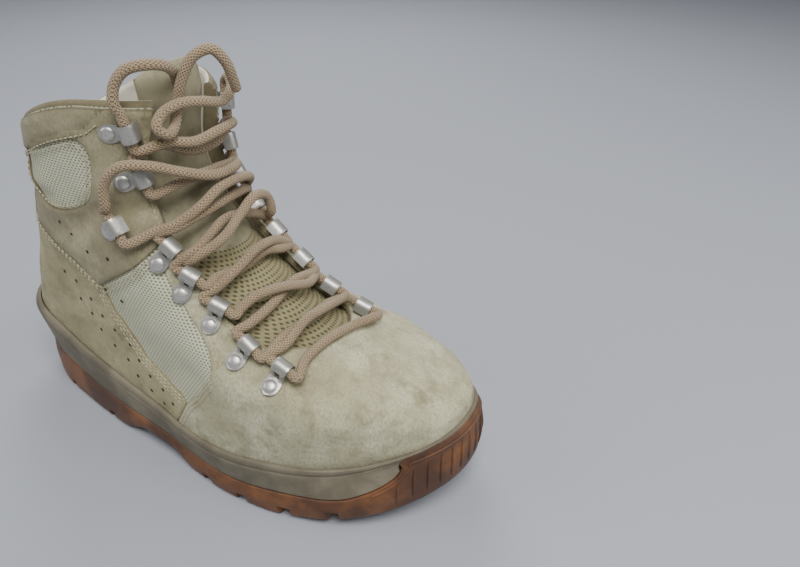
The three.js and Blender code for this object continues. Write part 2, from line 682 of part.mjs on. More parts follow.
// A point on the middle line of a hook's channel, `along` from its middle towards the high end.
function channelPoint(name, along) {
  const [sideName, row] = name.split(" ");
  const hook = HOOKS.find((each) => each.side === sideName && each.row === Number(row));
  const high = sideName === "lateral" ? along : -along;
  return new THREE.Vector3(HOOK.channel, high, HOOK.channelRadius + 0.1).applyMatrix4(hookMatrix(hook));
}

const LACE_LAP = 0.6; // how far a strand runs past the middle of a channel, into the next strand
const CHANNEL_LEADS = [4.4, 9]; // where the lace's path is fixed at a channel's mouth and beyond it

function strandPoints({ from, over, to }) {
  const lead = (name) =>
    [-LACE_LAP, ...CHANNEL_LEADS].map((along) => channelPoint(name, name.endsWith("high") ? along : -along));
  const middle = over.map(([s, across, out]) => acrossThroat(s, across, out));
  return [...lead(from), ...middle, ...lead(to).reverse()];
}

function looseEndPoints({ from, points }) {
  const lead = [LACE_LAP + GAP, ...CHANNEL_LEADS].map((along) => channelPoint(from, along));
  return [...lead, ...points.map((point) => new THREE.Vector3(...point))];
}

const LACE_STEP = 9; // length of one faceted step along the lace

function laceTube(points) {
  const length = new THREE.CatmullRomCurve3(points, false, "centripetal").getLength();
  return tube(points, LACE_DIAMETER, Math.round(length / LACE_STEP));
}

function crossings() {
  return geometryFrom(wasm.Manifold.union(STRANDS.map((strand) => solidOf(laceTube(strandPoints(strand))))));
}

const suede = new THREE.MeshStandardMaterial({ color: 0xb3ab8c, roughness: 0.95 });
const rubber = new THREE.MeshStandardMaterial({ color: 0x8a5a3a, roughness: 0.7 });
const foam = new THREE.MeshStandardMaterial({ color: 0x8f8a78, roughness: 0.75 });
const felt = new THREE.MeshStandardMaterial({ color: 0x6f6a5c, roughness: 1 });
const steel = new THREE.MeshStandardMaterial({ color: 0xb9b6ac, roughness: 0.45, metalness: 0.8 });

const cord = new THREE.MeshStandardMaterial({ color: 0xa08d70, roughness: 0.9 });

const boot = new THREE.Group();

function add(name, geometry, material, matrix) {
  const mesh = new THREE.Mesh(geometry, material);
  mesh.name = name;
  if (matrix) mesh.applyMatrix4(matrix);
  boot.add(mesh);
  return mesh;
}

const { outsole, midsole } = soleParts();
add("outsole", outsole, rubber);
add("midsole", midsole, foam);
add("upper", upper(), suede);
add("tongue", tongue(), suede);
add("insole", insole(), felt);
const hook = hookGeometry();
for (const row of HOOKS) add(`hook_${row.side}_${row.row}`, hook, steel, hookMatrix(row));
add("lace_crossings", crossings(), cord);
for (const end of LOOSE_ENDS) add(end.name, laceTube(looseEndPoints(end)), cord);

boot.position.set(-LENGTH / 2, -WIDTH_MIDDLE, 0);

export default boot;
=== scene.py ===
"""A right-foot desert combat boot: suede and mesh upper, two-layer moulded sole, riveted hooks and cord lace.

Shapes are worked out in millimetres from the back of the heel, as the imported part's source does, and are
moved to the part's frame in metres when a mesh is made.
"""

from __future__ import annotations

import logging
import math
from collections.abc import Sequence
from dataclasses import dataclass, field
from enum import Enum

import bpy
import numpy as np
from mathutils import Matrix, Vector
from mathutils.geometry import delaunay_2d_cdt

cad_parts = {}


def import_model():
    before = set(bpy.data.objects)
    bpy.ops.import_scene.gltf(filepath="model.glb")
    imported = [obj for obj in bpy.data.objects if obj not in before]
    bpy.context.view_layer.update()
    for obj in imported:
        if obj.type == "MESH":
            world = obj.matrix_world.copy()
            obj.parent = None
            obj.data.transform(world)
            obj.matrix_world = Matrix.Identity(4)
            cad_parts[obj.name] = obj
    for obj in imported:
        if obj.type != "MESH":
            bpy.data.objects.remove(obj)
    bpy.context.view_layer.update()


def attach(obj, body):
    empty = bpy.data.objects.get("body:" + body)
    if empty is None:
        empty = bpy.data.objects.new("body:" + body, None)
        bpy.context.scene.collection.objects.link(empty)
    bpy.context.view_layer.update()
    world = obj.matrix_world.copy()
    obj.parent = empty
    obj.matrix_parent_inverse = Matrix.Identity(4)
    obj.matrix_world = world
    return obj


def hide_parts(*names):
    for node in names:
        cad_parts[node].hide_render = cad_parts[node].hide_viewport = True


log = logging.getLogger("boot")

MM = 0.001
LENGTH = 300.0
WIDTH_MIDDLE = 2.9
GAP = 0.3
THROAT_SLICE = 0.53
LACE_DIAMETER = 5.0
END_POWER = 2.25
SOLE_HEEL_ROUND = 46.0
SOLE_TOE_ROUND = 66.0
ORIGIN = np.array([LENGTH / 2, WIDTH_MIDDLE, 0.0])
LATERAL = -1
MEDIAL = 1
SIDES = (LATERAL, MEDIAL)

PROFILE_COLUMNS = ("s", "back_x", "back_z", "front_x", "front_z", "bow", "peak")
PROFILE = (
    (0.0, 7, 34, 284, 36, -12, 0.68),
    (0.08, 4, 44, 290, 45, -10, 0.68),
    (0.16, 4, 55, 295, 54, -6, 0.68),
    (0.26, 8, 67, 294, 63, -1, 0.68),
    (0.36, 14, 81, 282, 72, 3, 0.68),
    (0.46, 21, 95, 252, 82, 3, 0.64),
    (0.56, 28, 110, 217, 97, 2, 0.6),
    (0.66, 33, 124, 191, 116, 1, 0.55),
    (0.76, 38, 137, 170, 136, 1, 0.52),
    (0.86, 43, 150, 156, 158, 3, 0.5),
    (0.93, 46, 163, 151, 180, 7, 0.5),
    (1.0, 50, 176, 152, 202, 12, 0.5),
)
WIDTH_COLUMNS = ("s", "rear", "waist", "ball", "fore", "back_round", "front_round")
WIDTHS = (
    (0.0, 30.5, 34, 48, 40.5, 35, 65),
    (0.08, 33, 37, 51, 44, 36, 65),
    (0.16, 34, 38, 52, 45, 36, 64),
    (0.26, 34.5, 38, 52, 44, 36, 63),
    (0.36, 34.5, 38.5, 50.5, 42, 35, 58),
    (0.46, 34.5, 38.5, 47, 37, 33, 56),
    (0.56, 34, 38.5, 43.5, 34.5, 31, 51),
    (0.66, 34, 39, 41.5, 33.5, 31, 47),
    (0.76, 34, 39.5, 40, 32, 31, 44),
    (0.86, 35, 41, 39, 31.5, 31, 43),
    (0.93, 36, 42, 38, 32, 32, 40),
    (1.0, 37, 42, 37.5, 33, 34, 37),
)
WIDTH_PLACES = (0.0, 0.12, 0.38, 0.68, 0.9, 1.0)
CENTRE_COLUMNS = ("x", "shift")
CENTRE_LINE = (
    (0, 11),
    (35, 6),
    (75, 0),
    (126, -4),
    (171, -2.5),
    (211, 2),
    (243, 7),
    (269, 12),
    (300, 15),
)
SOLE_COLUMNS = ("x", "half", "tread", "seam_lateral", "seam_medial", "rand")
SOLE = (
    (0, 34.5, 8, 38, 37, 63),
    (14, 34.5, 2, 32, 31, 62),
    (40, 35, 0, 25, 24, 56),
    (71, 37, 0, 22, 18, 47.5),
    (93, 38.5, 0, 20, 18, 43.5),
    (117, 40, 8, 19, 24, 40),
    (140, 42.5, 6, 17, 22, 37.5),
    (157, 46, 0, 15, 18, 35),
    (184, 51.5, 0, 15, 18, 35),
    (211, 54, 0, 17, 19, 36.5),
    (234, 53.5, 3, 19, 21, 37.5),
    (250, 52.5, 6, 21, 25, 39),
    (264, 51, 9, 27, 31, 42),
    (274, 49, 12, 35, 39, 46),
    (284, 46.5, 16, 54, 56, 51),
    (300, 43, 24, 75, 75, 59),
)
THROAT_COLUMNS = ("s", "lateral", "medial")
THROAT = (
    (0.0, 26, 20),
    (0.5, 32, 21),
    (0.6, 32, 21),
    (0.7, 29, 23),
    (0.8, 27, 23),
    (0.9, 25, 21),
    (1.0, 21, 18),
)
WALL_COLUMNS = ("s", "thick")
WALLS = ((0.0, 2.6), (0.5, 3.0), (0.78, 4.5), (0.92, 7.0), (1.0, 5.5))
# The tread's grooves: where each crosses the middle, and its width at the edge.
GROOVES = ((45, 6), (90, 6), (178, 7), (203, 7), (229, 7), (254, 7))
# The channels along the tread: from, to, and distance from the middle.
CHANNELS = ((164, 240, -15), (164, 240, 13), (18, 86, -13), (18, 86, 15))


class Column:
    """A smooth curve through a table's rows that never overshoots them."""

    def __init__(self, xs: Sequence[float], ys: Sequence[float]) -> None:
        """Works out the curve's slope at every row.

        Args:
            xs: the places of the rows, rising.
            ys: the values there.
        """
        self.xs = np.asarray(xs, float)
        self.ys = np.asarray(ys, float)
        steps = np.diff(self.ys) / np.diff(self.xs)
        slopes = np.empty(len(self.xs))
        slopes[0], slopes[-1] = steps[0], steps[-1]
        before, after = steps[:-1], steps[1:]
        same = before * after > 0
        total = np.where(same, before + after, 1.0)
        slopes[1:-1] = np.where(same, 2 * before * after / total, 0.0)
        self.slopes = slopes

    def __call__(self, x: np.ndarray | float) -> np.ndarray:
        """Returns the curve's values at x, held at its ends."""
        at = np.clip(np.asarray(x, float), self.xs[0], self.xs[-1])
        i = np.clip(np.searchsorted(self.xs, at, side="right") - 1, 0, len(self.xs) - 2)
        h = self.xs[i + 1] - self.xs[i]
        t = (at - self.xs[i]) / h
        t2, t3 = t * t, t * t * t
        ends = (2 * t3 - 3 * t2 + 1) * self.ys[i] + (3 * t2 - 2 * t3) * self.ys[i + 1]
        return ends + h * ((t3 - 2 * t2 + t) * self.slopes[i] + (t3 - t2) * self.slopes[i + 1])


def columns(names: Sequence[str], table: Sequence[Sequence[float]]) -> dict[str, Column]:
    """Returns a curve for each named column of a table, along its first column."""
    values = np.array(table, float)
    return {name: Column(values[:, 0], values[:, k]) for k, name in enumerate(names) if k}


slices = columns(PROFILE_COLUMNS, PROFILE) | columns(WIDTH_COLUMNS, WIDTHS)
sole = columns(SOLE_COLUMNS, SOLE)
throat = columns(THROAT_COLUMNS, THROAT)
centre_shift = columns(CENTRE_COLUMNS, CENTRE_LINE)["shift"]
wall_at = columns(WALL_COLUMNS, WALLS)["thick"]


def end_closing(distance: np.ndarray, length: np.ndarray | float) -> np.ndarray:
    """Returns 0 at an end and 1 from `length` inwards, along a superellipse."""
    part = np.clip(1 - distance / length, 0, 1)
    return np.clip(1 - part**END_POWER, 0, 1) ** (1 / END_POWER)


def share_along(tau: np.ndarray | float) -> np.ndarray:
    """Returns the share of a slice's length at tau, which crowds points at both ends."""
    return (1 - np.cos(np.pi * np.asarray(tau, float))) / 2


def half_width(s: np.ndarray, q: np.ndarray) -> np.ndarray:
    """Returns the half-width of slice s at share q of its length."""
    s, q = np.broadcast_arrays(np.asarray(s, float), np.asarray(q, float))
    rear, fore = slices["rear"](s), slices["fore"](s)
    widths = np.stack([rear * 0.97, rear, slices["waist"](s), slices["ball"](s), fore, fore * 0.92], -1)
    places = np.array(WIDTH_PLACES)
    steps = np.diff(widths, axis=-1) / np.diff(places)
    slopes = np.empty_like(widths)
    slopes[..., 0], slopes[..., -1] = steps[..., 0], steps[..., -1]
    before, after = steps[..., :-1], steps[..., 1:]
    same = before * after > 0
    slopes[..., 1:-1] = np.where(same, 2 * before * after / np.where(same, before + after, 1), 0)
    i = np.clip(np.searchsorted(places, q, side="right") - 1, 0, len(places) - 2)
    h = places[i + 1] - places[i]
    t = (q - places[i]) / h
    t2, t3 = t * t, t * t * t

    def pick(values: np.ndarray, k: np.ndarray) -> np.ndarray:
        """Returns the k-th value of each row."""
        return np.take_along_axis(values, k[..., None], -1)[..., 0]

    width = (2 * t3 - 3 * t2 + 1) * pick(widths, i) + (3 * t2 - 2 * t3) * pick(widths, i + 1)
    width = width + h * ((t3 - 2 * t2 + t) * pick(slopes, i) + (t3 - t2) * pick(slopes, i + 1))
    length = np.hypot(
        slices["front_x"](s) - slices["back_x"](s), slices["front_z"](s) - slices["back_z"](s)
    )
    ends = end_closing(q * length, slices["back_round"](s))
    return width * ends * end_closing((1 - q) * length, slices["front_round"](s))


def last_point(s: np.ndarray, side: np.ndarray, tau: np.ndarray) -> np.ndarray:
    """Returns points on the upper's smooth outer form: slice s, side, tau from the heel to the toe."""
    s, side, tau = np.broadcast_arrays(np.asarray(s, float), np.asarray(side, float), np.asarray(tau, float))
    q = share_along(tau)
    x = slices["back_x"](s) + q * (slices["front_x"](s) - slices["back_x"](s))
    bump = np.sin(np.pi * q ** (np.log(0.5) / np.log(slices["peak"](s))))
    z = slices["back_z"](s) + q * (slices["front_z"](s) - slices["back_z"](s)) + slices["bow"](s) * bump
    y = centre_shift(x) * (1 - 0.7 * s) + side * half_width(s, q)
    return np.stack([x, y, z], -1)


def unit(v: np.ndarray) -> np.ndarray:
    """Returns vectors scaled to length one."""
    return v / (np.linalg.norm(v, axis=-1, keepdims=True) + 1e-12)


def last_normal(s: np.ndarray, side: np.ndarray, tau: np.ndarray) -> np.ndarray:
    """Returns the outward normal of the upper's smooth outer form."""
    step = 0.004
    s, side, tau = np.broadcast_arrays(np.asarray(s, float), np.asarray(side, float), np.asarray(tau, float))
    up = last_point(np.minimum(1, s + step), side, tau) - last_point(np.maximum(0, s - step), side, tau)
    ahead = last_point(s, side, np.minimum(1 - step / 2, tau + step))
    along = ahead - last_point(s, side, np.maximum(step / 2, tau - step))
    at_end = (tau < step) | (tau > 1 - step)
    across = np.zeros_like(along)
    across[..., 1] = side * np.where(tau < 0.5, 1, -1)
    along = np.where(at_end[..., None], across, along)
    return unit(np.cross(along, up) * -side[..., None])


def front_tau(s: np.ndarray, reach: np.ndarray) -> np.ndarray:
    """Returns the tau at which slice s, towards its front, is `reach` from the boot's middle."""
    s, reach = np.broadcast_arrays(np.asarray(s, float), np.asarray(reach, float))
    low, high = np.full(s.shape, 0.3), np.full(s.shape, 1.0)
    for _ in range(30):
        middle = (low + high) / 2
        wide = half_width(s, share_along(middle)) > reach
        low, high = np.where(wide, middle, low), np.where(wide, high, middle)
    return low


def throat_reach(s: np.ndarray | float, side: int) -> np.ndarray:
    """Returns how far the throat reaches to one side at slice s."""
    return throat["lateral"](s) if side < 0 else throat["medial"](s)


# Creases: from and to, in length and height; depth (troughs are negative), and half-width of the fold.
CREASES = (
    (78, 128, 118, 152, -1.8, 7),
    (100, 150, 130, 155, -1.6, 6),
    (60, 120, 96, 124, 1.0, 9),
    (128, 150, 146, 158, -1.2, 4),
    (52, 148, 84, 151, -1.4, 5),
    (56, 156, 92, 160, 0.9, 5),
    (200, 62, 232, 88, -0.8, 9),
    (222, 56, 252, 76, 0.9, 10),
    (236, 48, 268, 66, -0.6, 9),
    (150, 84, 176, 70, -0.7, 7),
    (38, 70, 64, 86, -0.5, 9),
)


def relief(points: np.ndarray) -> np.ndarray:
    """Returns how far worn leather stands out of or sinks into the smooth form at each point."""
    x, y, z = points[..., 0], points[..., 1], points[..., 2]
    height = 0.35 * np.sin(x / 13 + y / 21 + 1.3) * np.sin(z / 11 - x / 37)
    height = height + 0.2 * np.sin(x / 6.3 - z / 8.1 + 0.4) * np.sin(z / 5.7 + y / 9)
    for x0, z0, x1, z1, depth, width in CREASES:
        dx, dz = x1 - x0, z1 - z0
        share = np.clip(((x - x0) * dx + (z - z0) * dz) / (dx * dx + dz * dz), -0.2, 1.2)
        wave = 2.2 * np.sin(share * 5 + x0)
        away = np.hypot(x - x0 - share * dx, z - z0 - share * dz + wave * 0.4)
        fade = np.clip(1 - np.abs(share * 2 - 1) ** 2 * 0.7, 0, 1)
        height = height + depth * fade * np.exp(-((away / width) ** 2))
    return height


def surface(s: np.ndarray, side: np.ndarray, tau: np.ndarray, out: np.ndarray | float) -> np.ndarray:
    """Returns points on the worn upper, `out` above it."""
    points = last_point(s, side, tau)
    fade = np.clip(np.asarray(s, float) / 0.16, 0, 1) * np.clip((1.0 - np.asarray(s, float)) / 0.05, 0, 1)
    height = relief(points) * fade + out
    return points + last_normal(s, side, tau) * np.asarray(height)[..., None]


class Finish(Enum):
    """Material slot names."""

    RUBBER = "rubber"
    FOAM = "foam"
    SUEDE = "suede"
    FELT = "felt"
    STEEL = "steel"
    CORD = "cord"


def smooth_line(points: Sequence[Sequence[float]], rounds: int = 3, closed: bool = False) -> np.ndarray:
    """Rounds a line's corners by cutting them.

    Args:
        points: the line's points.
        rounds: how many times every corner is cut.
        closed: whether the line ends where it starts.

    Returns:
        The rounded line's points.
    """
    line = np.array(points, float)
    for _ in range(rounds):
        after = np.roll(line, -1, axis=0) if closed else line[1:]
        before = line if closed else line[:-1]
        pairs = np.stack([before * 0.75 + after * 0.25, before * 0.25 + after * 0.75], 1)
        cut = pairs.reshape(-1, line.shape[1])
        line = cut if closed else np.vstack([line[:1], cut, line[-1:]])
    return line


def resample(line: np.ndarray, weights: np.ndarray, step: float) -> np.ndarray:
    """Returns points every `step` along a line whose coordinates are weighted into millimetres."""
    lengths = np.r_[0, np.cumsum(np.linalg.norm(np.diff(line * weights, axis=0), axis=1))]
    count = max(2, int(round(lengths[-1] / step)) + 1)
    at = np.linspace(0, lengths[-1], count)
    return np.stack([np.interp(at, lengths, line[:, k]) for k in range(line.shape[1])], 1)


def inside(points: np.ndarray, outline: np.ndarray) -> np.ndarray:
    """Returns which points lie inside a closed outline."""
    result = np.zeros(len(points), bool)
    following = np.roll(outline, -1, axis=0)
    for (x0, y0), (x1, y1) in zip(outline, following):
        crosses = (y0 > points[:, 1]) != (y1 > points[:, 1])
        with np.errstate(divide="ignore", invalid="ignore"):
            at = (x1 - x0) * (points[:, 1] - y0) / (y1 - y0) + x0
        result ^= crosses & (points[:, 0] < at)
    return result


class Maker:
    """Makes objects in the part's frame from millimetres."""

    def mesh(
        self,
        name: str,
        points: np.ndarray,
        faces: Sequence[Sequence[int]],
        uv: np.ndarray | None = None,
        edge: np.ndarray | None = None,
        smooth_angle: float = 40,
    ) -> bpy.types.Object:
        """Makes a mesh object.

        Args:
            name: the object's name.
            points: its points in millimetres from the back of the heel.
            faces: its faces.
            uv: a place in the material's pattern for every point, in millimetres.
            edge: every point's distance from the piece's cut edge, in millimetres.
            smooth_angle: the angle below which edges are shaded smooth.

        Returns:
            The new object.
        """
        data = bpy.data.meshes.new(name)
        data.from_pydata(((points - ORIGIN) * MM).tolist(), [], [list(map(int, f)) for f in faces])
        data.update()
        if uv is not None:
            layer = data.uv_layers.new(name="pattern")
            loops = np.empty(len(data.loops), int)
            data.loops.foreach_get("vertex_index", loops)
            layer.data.foreach_set("uv", uv[loops].astype(np.float32).ravel())
        if edge is not None:
            data.attributes.new("edge", "FLOAT", "POINT").data.foreach_set("value", edge.astype(np.float32))
        obj = bpy.data.objects.new(name, data)
        bpy.context.scene.collection.objects.link(obj)
        bpy.ops.object.select_all(action="DESELECT")
        obj.select_set(True)
        bpy.context.view_layer.objects.active = obj
        bpy.ops.object.shade_smooth_by_angle(angle=math.radians(smooth_angle))
        return obj

    def finish(
        self, obj: bpy.types.Object, material: bpy.types.Material, slot: Finish, *nodes: str
    ) -> bpy.types.Object:
        """Dresses a piece and ties it to the part.

        Args:
            obj: the piece.
            material: its material.
            slot: not used.
            nodes: the CAD nodes that it stands for.

        Returns:
            The piece.
        """
        obj.data.materials.clear()
        obj.data.materials.append(material)
        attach(obj, "root")
        if nodes:
            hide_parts(*nodes)
        log.info("%s: %d faces", obj.name, len(obj.data.polygons))
        return obj


def grid_faces(rows: int, size: int, wraps: bool) -> list[tuple[int, int, int, int]]:
    """Returns the quads of a grid of points.

    Args:
        rows: how many rows the grid has.
        size: how many points a row has.
        wraps: whether a row's end meets its start.

    Returns:
        The quads, each as four point numbers.
    """
    faces = []
    for j in range(rows - 1):
        for i in range(size if wraps else size - 1):
            low, high, after = j * size, (j + 1) * size, (i + 1) % size
            faces.append((low + i, low + after, high + after, high + i))
    return faces


Colour = tuple[float, float, float, float]
Faces = list[tuple[int, ...]]
Part = tuple[np.ndarray, Faces, np.ndarray]


# ---- Shader nodes ----


class Value:
    """A shader socket that arithmetic works on."""

    def __init__(self, paint: "Paint", socket: bpy.types.NodeSocket) -> None:
        """Wraps a socket of a material in the making."""
        self.paint = paint
        self.socket = socket

    def _math(self, operation: str, *terms: "Value | float") -> "Value":
        """Adds a Math node on these terms."""
        return self.paint.node("ShaderNodeMath", dict(enumerate(terms)), operation=operation)

    def __add__(self, other: "Value | float") -> "Value":
        """Returns the sum."""
        return self._math("ADD", self, other)

    def __sub__(self, other: "Value | float") -> "Value":
        """Returns the difference."""
        return self._math("SUBTRACT", self, other)

    def __rsub__(self, other: float) -> "Value":
        """Returns a number less this."""
        return self._math("SUBTRACT", other, self)

    def __mul__(self, other: "Value | float") -> "Value":
        """Returns the product."""
        return self._math("MULTIPLY", self, other)

    def __truediv__(self, other: "Value | float") -> "Value":
        """Returns the quotient."""
        return self._math("DIVIDE", self, other)

    __radd__ = __add__
    __rmul__ = __mul__

    def sine(self) -> "Value":
        """Returns the sine."""
        return self._math("SINE", self)

    def absolute(self) -> "Value":
        """Returns the size without the sign."""
        return self._math("ABSOLUTE", self)

    def floor(self) -> "Value":
        """Returns the whole part."""
        return self._math("FLOOR", self)

    def remainder(self, other: float) -> "Value":
        """Returns what is left after division."""
        return self._math("FLOORED_MODULO", self, other)

    def maximum(self, other: "Value | float") -> "Value":
        """Returns the larger."""
        return self._math("MAXIMUM", self, other)

    def rise(self, low: float, high: float) -> "Value":
        """Returns 0 below `low` and 1 above `high`, smoothly."""
        return self.paint.node(
            "ShaderNodeMapRange",
            {"Value": self, "From Min": low, "From Max": high},
            interpolation_type="SMOOTHSTEP",
        )


class Paint:
    """A material being made."""

    def __init__(self, name: str) -> None:
        """Starts a material with an output and a shader."""
        self.material = bpy.data.materials.new(name)
        self.material.use_nodes = True
        self.tree = self.material.node_tree
        self.tree.nodes.clear()
        self.output = self.tree.nodes.new("ShaderNodeOutputMaterial")
        self.shader = self.tree.nodes.new("ShaderNodeBsdfPrincipled")
        self.tree.links.new(self.shader.outputs[0], self.output.inputs["Surface"])

    def put(self, socket: bpy.types.NodeSocket, value: "Value | float | tuple") -> None:
        """Sets or links one input."""
        if isinstance(value, Value):
            self.tree.links.new(value.socket, socket)
        else:
            socket.default_value = value

    def node(self, kind: str, inputs: dict, output: int | str = 0, **settings: object) -> Value:
        """Makes a node.

        Args:
            kind: the node's type.
            inputs: its inputs by name or number.
            output: the output to return.
            settings: its properties.

        Returns:
            The output as a value.
        """
        made = self.tree.nodes.new(kind)
        for key, value in settings.items():
            setattr(made, key, value)
        for key, value in inputs.items():
            self.put(made.inputs[key], value)
        return Value(self, made.outputs[output])

    def place(self, scale: tuple[float, float, float] = (1, 1, 1)) -> Value:
        """Returns the object's own coordinates in metres, scaled."""
        at = self.node("ShaderNodeTexCoord", {}, "Object")
        return self.node("ShaderNodeMapping", {"Vector": at, "Scale": scale})

    def pattern(self) -> tuple[Value, Value]:
        """Returns the piece's pattern coordinates, in millimetres."""
        at = self.node("ShaderNodeUVMap", {}, uv_map="pattern")
        parts = self.node("ShaderNodeSeparateXYZ", {"Vector": at}, "X")
        return parts, Value(self, parts.socket.node.outputs["Y"])

    def edge(self) -> Value:
        """Returns the distance from the piece's cut edge, in millimetres."""
        return self.node("ShaderNodeAttribute", {}, "Fac", attribute_name="edge")

    def noise(
        self, size: float, detail: float = 4, scale: tuple[float, float, float] = (1, 1, 1)
    ) -> Value:
        """Makes noise from 0 to 1.

        Args:
            size: the size of its features, in metres.
            detail: how many finer layers it has.
            scale: how much it is squeezed along each axis.

        Returns:
            The noise.
        """
        inputs = {"Vector": self.place(scale), "Scale": 1 / size, "Detail": detail, "Roughness": 0.6}
        return self.node("ShaderNodeTexNoise", inputs, "Fac")

    def mix(self, share: "Value | float", first: "Value | tuple", second: "Value | tuple") -> Value:
        """Returns a mix of two colours."""
        made = self.tree.nodes.new("ShaderNodeMix")
        made.data_type = "RGBA"
        self.put(made.inputs[0], share)
        self.put(made.inputs[6], first)
        self.put(made.inputs[7], second)
        return Value(self, made.outputs[2])

    def bump(
        self, height: Value, distance: float, strength: float = 1.0, under: Value | None = None
    ) -> Value:
        """Roughens the normal.

        Args:
            height: the height, from 0 to 1.
            distance: what a height of 1 stands for, in metres.
            strength: how much of it shows.
            under: a normal that it is added to.

        Returns:
            The normal.
        """
        inputs = {"Height": height, "Distance": distance, "Strength": strength}
        if under is not None:
            inputs["Normal"] = under
        return self.node("ShaderNodeBump", inputs)

    def done(
        self, colour: "Value | Colour", roughness: "Value | float", **inputs: "Value | float"
    ) -> bpy.types.Material:
        """Sets the shader's inputs.

        Args:
            colour: the base colour.
            roughness: the roughness.
            inputs: other inputs by name, with _ for a space.

        Returns:
            The finished material.
        """
        self.put(self.shader.inputs["Base Color"], colour)
        self.put(self.shader.inputs["Roughness"], roughness)
        for key, value in inputs.items():
            self.put(self.shader.inputs[key.replace("_", " ")], value)
        return self.material


@dataclass(frozen=True)
class Suede:
    """Napped leather: three tones, how hairy it is, and a darker tone for its stains and cut edges."""

    name: str
    dark: Colour
    middle: Colour
    light: Colour
    stain_and_edge_tone: Colour
    hair: float = 1.0

    def material(self) -> bpy.types.Material:
        """Returns the material."""
        paint = Paint(self.name)
        broad = paint.noise(0.034, 3).rise(0.35, 0.68)
        patch = paint.noise(0.011, 5).rise(0.42, 0.72)
        nap = paint.noise(0.0011, 6, (1, 1, 0.5))
        fine = paint.noise(0.0004, 3)
        colour = paint.mix(broad, self.middle, self.light)
        colour = paint.mix(patch * 0.62, colour, self.dark)
        colour = paint.mix(nap.rise(0.35, 0.75) * (0.42 * self.hair), colour, self.dark)
        colour = paint.mix(fine.rise(0.5, 0.8) * (0.3 * self.hair), colour, self.light)
        stain = paint.noise(0.022, 6).rise(0.56, 0.7) * paint.noise(0.006, 4).rise(0.35, 0.7)
        colour = paint.mix(stain * 0.6, colour, self.stain_and_edge_tone)
        # Within about a millimetre of every cut edge, and on the cut walls, the colour darkens towards the
        # stain and edge tone.
        edge = paint.edge().rise(1.0, 0.1)
        colour = paint.mix(edge * 0.6, colour, self.stain_and_edge_tone)
        normal = paint.bump(nap + fine * 0.6, 0.0005, 0.55 * self.hair)
        normal = paint.bump(paint.noise(0.006, 4), 0.0012, 0.35, normal)
        return paint.done(colour, 0.95, Normal=normal, Sheen_Weight=0.08, Sheen_Roughness=0.5)


@dataclass(frozen=True)
class Mesh:
    """Woven mesh with staggered pits, with painted shade in the pits and between the threads."""

    name: str
    thread: Colour
    shade: Colour
    pit_shade: Colour
    pitch: float = 2.0
    rise: float = 1.35

    def material(self) -> bpy.types.Material:
        """Returns the material."""
        paint = Paint(self.name)
        u, v = paint.pattern()
        row = (v / self.rise).floor()
        shift = row.remainder(2) * (self.pitch / 2)
        across = (((u + shift) * (math.pi / self.pitch)).sine()).absolute()
        along = ((v * (math.pi / self.rise)).sine()).absolute()
        shaded_hole = (across * along).rise(0.5, 0.86)
        weave = (((u * (2 * math.pi / 0.5)).sine()) * ((v * (2 * math.pi / 0.45)).sine())) * 0.5 + 0.5
        # Painted shade: the weave's lower spots take the shade tone, and the pits take the pit tone.
        colour = paint.mix(weave, self.shade, self.thread)
        colour = paint.mix(paint.noise(0.016, 4).rise(0.4, 0.75) * 0.4, colour, self.shade)
        colour = paint.mix(shaded_hole * 0.85, colour, self.pit_shade)
        height = weave * 0.25 - shaded_hole
        normal = paint.bump(height, 0.0005, 0.7)
        return paint.done(colour, 0.85, Normal=normal)


@dataclass(frozen=True)
class Braid:
    """A round braided cord, whose dark tone is painted shade. Pattern coordinates run round it (0 to 1) and
    along it (millimetres).
    """

    name: str
    dark: Colour
    light: Colour

    def material(self) -> bpy.types.Material:
        """Returns the material."""
        paint = Paint(self.name)
        u, v = paint.pattern()
        turn = 2 * math.pi
        first = (u * (turn * 10) + v * (turn / 2.0)).sine()
        second = (u * (turn * 10) - v * (turn / 2.0)).sine()
        weave = first.maximum(second)
        lit_strand = weave.rise(0.1, 0.9)
        fleck = paint.noise(0.0012, 3).rise(0.4, 0.7)
        # Painted shade: the grooves between the raised strands take the dark tone, the lace in shadow, which
        # also darkens flecks and blotches.
        colour = paint.mix(lit_strand, self.dark, self.light)
        colour = paint.mix(fleck * 0.3, colour, self.dark)
        colour = paint.mix(paint.noise(0.02, 3).rise(0.45, 0.75) * 0.45, colour, self.dark)
        normal = paint.bump(weave, 0.0004, 0.8)
        return paint.done(colour, 0.85, Normal=normal, Sheen_Weight=0.15)


@dataclass(frozen=True)
class Moulded:
    """Rubber or foam: two tones, scuffs and a fine grain."""

    name: str
    dark: Colour
    light: Colour
    scuff: Colour
    roughness: float
    worn: float

    def material(self) -> bpy.types.Material:
        """Returns the material."""
        paint = Paint(self.name)
        colour = paint.mix(paint.noise(0.025, 5).rise(0.35, 0.7), self.dark, self.light)
        scratches = paint.noise(0.004, 6, (1, 1, 3)).rise(0.56, 0.75)
        rubbed = scratches * paint.noise(0.03, 3).rise(0.4, 0.65)
        colour = paint.mix(rubbed * self.worn, colour, self.scuff)
        dust = paint.noise(0.0015, 4).rise(0.6, 0.8)
        colour = paint.mix(dust * 0.3, colour, self.scuff)
        normal = paint.bump(paint.noise(0.0012, 4), 0.0003, 0.35)
        rough = paint.noise(0.01, 4) * 0.25 + (self.roughness - 0.1)
        return paint.done(colour, rough, Normal=normal)


@dataclass(frozen=True)
class Metal:
    """Dull painted or plated metal with worn spots."""

    name: str
    colour: Colour
    worn: Colour
    metallic: float
    roughness: float

    def material(self) -> bpy.types.Material:
        """Returns the material."""
        paint = Paint(self.name)
        spots = paint.noise(0.0022, 5).rise(0.5, 0.75)
        colour = paint.mix(spots * 0.6, self.colour, self.worn)
        normal = paint.bump(paint.noise(0.0009, 4), 0.0001, 0.5)
        rough = spots * 0.25 + self.roughness
        return paint.done(colour, rough, Metallic=self.metallic, Normal=normal)


GRAIN = 0.0004


